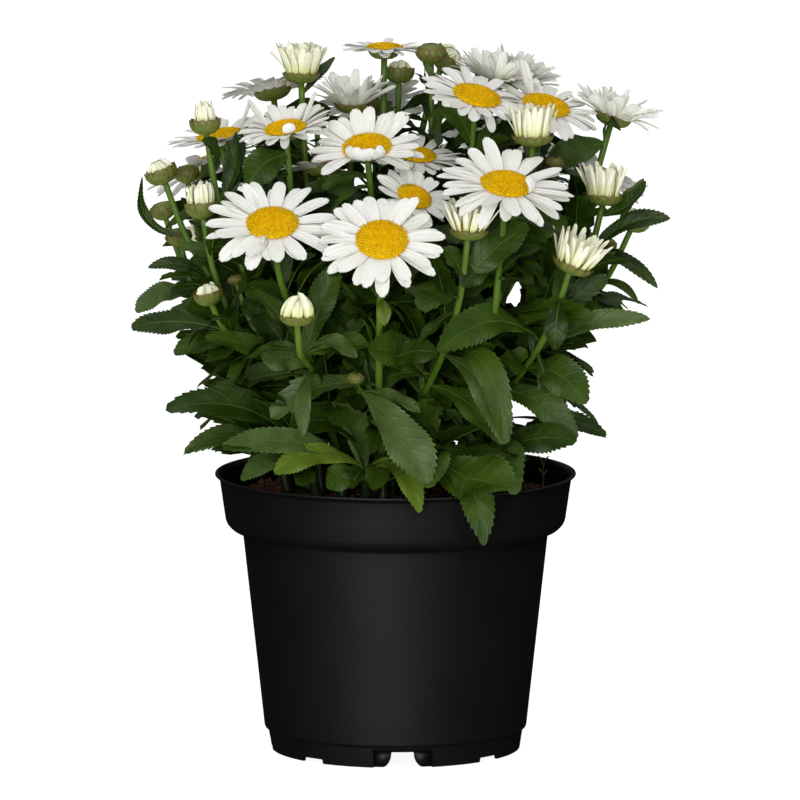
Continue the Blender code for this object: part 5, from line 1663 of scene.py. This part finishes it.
# %% Compost
BED_OUTLINE = np.array([(0, 12.4), (61, 12.4), (66.6, 15), (77.6, 113), (84, 121.6), (88.4, 132.0)]) * MM
BED_COLUMNS = 96
BED_ROWS = 34
BED_RADIUS = 88.9 * MM
CRUMBS = 2200
CRUMB_REACH = 86 * MM
CRUMB_SIZE = 0.95 * MM
FIBRES = 130
FIBRE_RADIUS = 0.14 * MM
BED_SINK = 0.8 * MM


def bed_height(x, y):
    """The level of the compost: flat in the middle, lower at the wall, with lumps from crossed waves."""
    radius = np.hypot(x, y)
    fall = np.clip((radius - PLATEAU_RADIUS) / (20 * MM), 0, 1)
    level = mix(COMPOST_TOP, COMPOST_EDGE, fall)
    a, b = x / MM, y / MM
    lumps = np.sin(0.31 * a + 1.3 * np.sin(0.23 * b)) * np.sin(0.27 * b + 1.1 * np.sin(0.29 * a + 1))
    lumps = 0.8 * lumps + 0.5 * np.sin(0.71 * a - 0.4 * b + 2 * np.sin(0.37 * b)) * np.sin(0.63 * b + 0.5 * a)
    small = 0.3 * np.sin(1.7 * a + 0.8 * b) * np.sin(1.9 * b - 0.6 * a)
    return level - BED_SINK + (lumps + small) * MM * np.clip(radius / (8 * MM), 0.2, 1)


turns = full_turn(BED_COLUMNS)
top = revolve(np.linspace(BED_RADIUS, 0, BED_ROWS)[:, None], turns, 0)
top[..., 2] = bed_height(top[..., 0], top[..., 1])
side = revolve(BED_OUTLINE[:, :1], turns, BED_OUTLINE[:, 1:])
bed = np.concatenate([side, top])[None]
compost_finish = finish("peat compost", (0.026, 0.008, 0.004), (0.120, 0.036, 0.017), 4, 0.92, 0.5, 0.8,
                        mottle=0.5)
grid_piece("compost_bed", bed, compost_finish, ["compost"], closed=True)

draw = np.random.RandomState(SEED + 1300)
spread = np.sqrt(draw.uniform(0, 1, CRUMBS)) * CRUMB_REACH
angle = draw.uniform(0, 2 * math.pi, CRUMBS)
place = revolve(spread, angle, 0)
size = np.clip(draw.lognormal(0.0, 0.45, CRUMBS), 0.4, 2.8) * CRUMB_SIZE
place[:, 2] = bed_height(place[:, 0], place[:, 1]) + 0.35 * size
rise = np.radians([-90, -30, 25, 90])[:, None]
ball = revolve(np.cos(rise), full_turn(5), np.sin(rise))
uneven = draw.uniform(0.65, 1.25, (CRUMBS, 4, 5, 1))
uneven[:, [0, -1]] = uneven[:, [0, -1], :1]
stretch = draw.uniform(0.7, 1.3, (CRUMBS, 1, 1, 3)) * [1, 1, 0.75]
crumbs = ball * uneven * stretch * size[:, None, None, None] + place[:, None, None]
crumb_finish = finish("dark crumb", (0.032, 0.010, 0.004), (0.180, 0.054, 0.026), 3, 0.9, 0.3, 0.6, mottle=0.5)
grid_piece("compost_crumbs", crumbs, crumb_finish, ["compost"], closed=True)

fibres = []
for _ in range(FIBRES):
    middle = np.array([*(facing(90, draw.uniform(0, 360)) * draw.uniform(10, 84) * MM)[:2]])
    heading = facing(90, draw.uniform(0, 360))[:2]
    along = np.linspace(-0.5, 0.5, 7) * draw.uniform(3, 9) * MM
    sag = (4 * along**2 / (6 * MM))[:, None] * heading[::-1] * [1, -1] * draw.uniform(-1, 1)
    flat = middle + along[:, None] * heading + sag
    path = np.column_stack([flat, bed_height(flat[:, 0], flat[:, 1]) + 0.9 * MM + draw.uniform(0, 0.8) * MM])
    fibres.append(tube_grid(path, FIBRE_RADIUS * np.array([0.3, 1, 1, 1, 1, 1, 0.3]), sides=4, rib=0))
fibre_finish = finish("peat fibre", (0.090, 0.045, 0.022), (0.190, 0.115, 0.060), 3, 0.85)
grid_piece("peat_fibres", np.array(fibres), fibre_finish, ["compost"], closed=True)

# %% [markdown]
# A seedling has come up by the right wall: one thin stalk with three pairs of short narrow leaves, all of
# them tapered tubes.

# %% Seedling
SEEDLING = np.array([79.0, 38.0, 134.5]) * MM
SEEDLING_HEIGHT = 13 * MM
SEEDLING_STALK = np.array([(0, 0, 0), (0.2, 0.1, 0.35), (-0.1, 0, 0.7), (0.1, 0, 1.0)])
# Its leaves: how far up the stalk, which way in degrees, and how long in millimetres.
SEEDLING_LEAVES = ((0.45, 20, 4.0), (0.5, 205, 4.5), (0.75, 80, 4.5), (0.8, 250, 4.0), (0.98, 0, 5.0),
                   (0.98, 160, 5.0))
SEEDLING_LEAF_RADII = np.array([0.2, 0.35, 0.5, 0.6, 0.6, 0.55, 0.45, 0.3, 0.05]) * MM
stalk_path = SEEDLING + SEEDLING_STALK * [MM, MM, SEEDLING_HEIGHT]
seedling = [tube_grid(smooth_path(stalk_path, 9), np.linspace(0.5, 0.3, 9) * MM, 6, 0)]
for share, turn, length in SEEDLING_LEAVES:
    root = point_along(stalk_path, share * SEEDLING_HEIGHT)
    path = root + np.linspace(0, 1, 9)[:, None] * facing(38, turn) * length * MM
    seedling.append(tube_grid(path, SEEDLING_LEAF_RADII, 6, 0))
seedling_finish = finish("seedling", (0.045, 0.080, 0.010), (0.090, 0.130, 0.022), 3, 0.5, 0.03, 0.3)
grid_piece("seedling", np.array(seedling), seedling_finish, TUFTS, closed=True)

# %% [markdown]
# The studio: a pale floor that glows a little, as a lit table does, so that it meets the white ground
# without an edge. One large soft light stands in front, a little to the left, a small one higher on the
# right gives the gloss, a weak one hangs above, and the surround brightens upwards. Whites stay just under
# full, and the deep inside of the plant stays dark.

# %% Studio
floor_mesh = bpy.data.meshes.new("floor")
floor_mesh.from_pydata([(-9, -9, 0), (9, -9, 0), (9, 9, 0), (-9, 9, 0)], [], [(0, 1, 2, 3)])
floor = bpy.data.objects.new("floor", floor_mesh)
floor_mesh.materials.append(finish("pale floor", (0.30, 0.30, 0.30), (0.34, 0.34, 0.34), 400, 0.9,
                                   Emission_Color=(1, 1, 1, 1), Emission_Strength=0.92))
bpy.context.scene.collection.objects.link(floor)
floor.location.z = -0.0002
floor.visible_glossy = False


def soft_light(name, place, side, power):
    """A round soft light that points at the middle of the plant."""
    light = bpy.data.lights.new(name, "AREA")
    light.shape = "DISK"
    light.size = side
    light.energy = power
    item = bpy.data.objects.new(name, light)
    item.location = place
    item.rotation_euler = (Vector((0, 0, 0.2)) - Vector(place)).to_track_quat("-Z", "Y").to_euler()
    bpy.context.scene.collection.objects.link(item)


soft_light("key light", (0.7, -2.6, 1.7), 0.5, 14)
soft_light("front light", (-0.6, -3.0, 0.5), 1.7, 57)
soft_light("top light", (-0.2, 0.2, 2.4), 1.4, 7)
world = bpy.data.worlds.new("studio")
world.use_nodes = True
sky = world.node_tree
direction = add_node(sky, "TexCoord", {}).outputs["Generated"]
upward = add_node(sky, "SeparateXYZ", {"Vector": direction}).outputs["Z"]
fade = add_node(sky, "MapRange", {"Value": upward}, {"From Min": 0.25, "From Max": 0.90, "To Max": 0.74})
sky.links.new(fade.outputs["Result"], sky.nodes["Background"].inputs["Strength"])
sky.nodes["Background"].inputs["Color"].default_value = (1, 1, 1, 1)
bpy.context.scene.world = world
bpy.context.scene.view_settings.view_transform = "Standard"
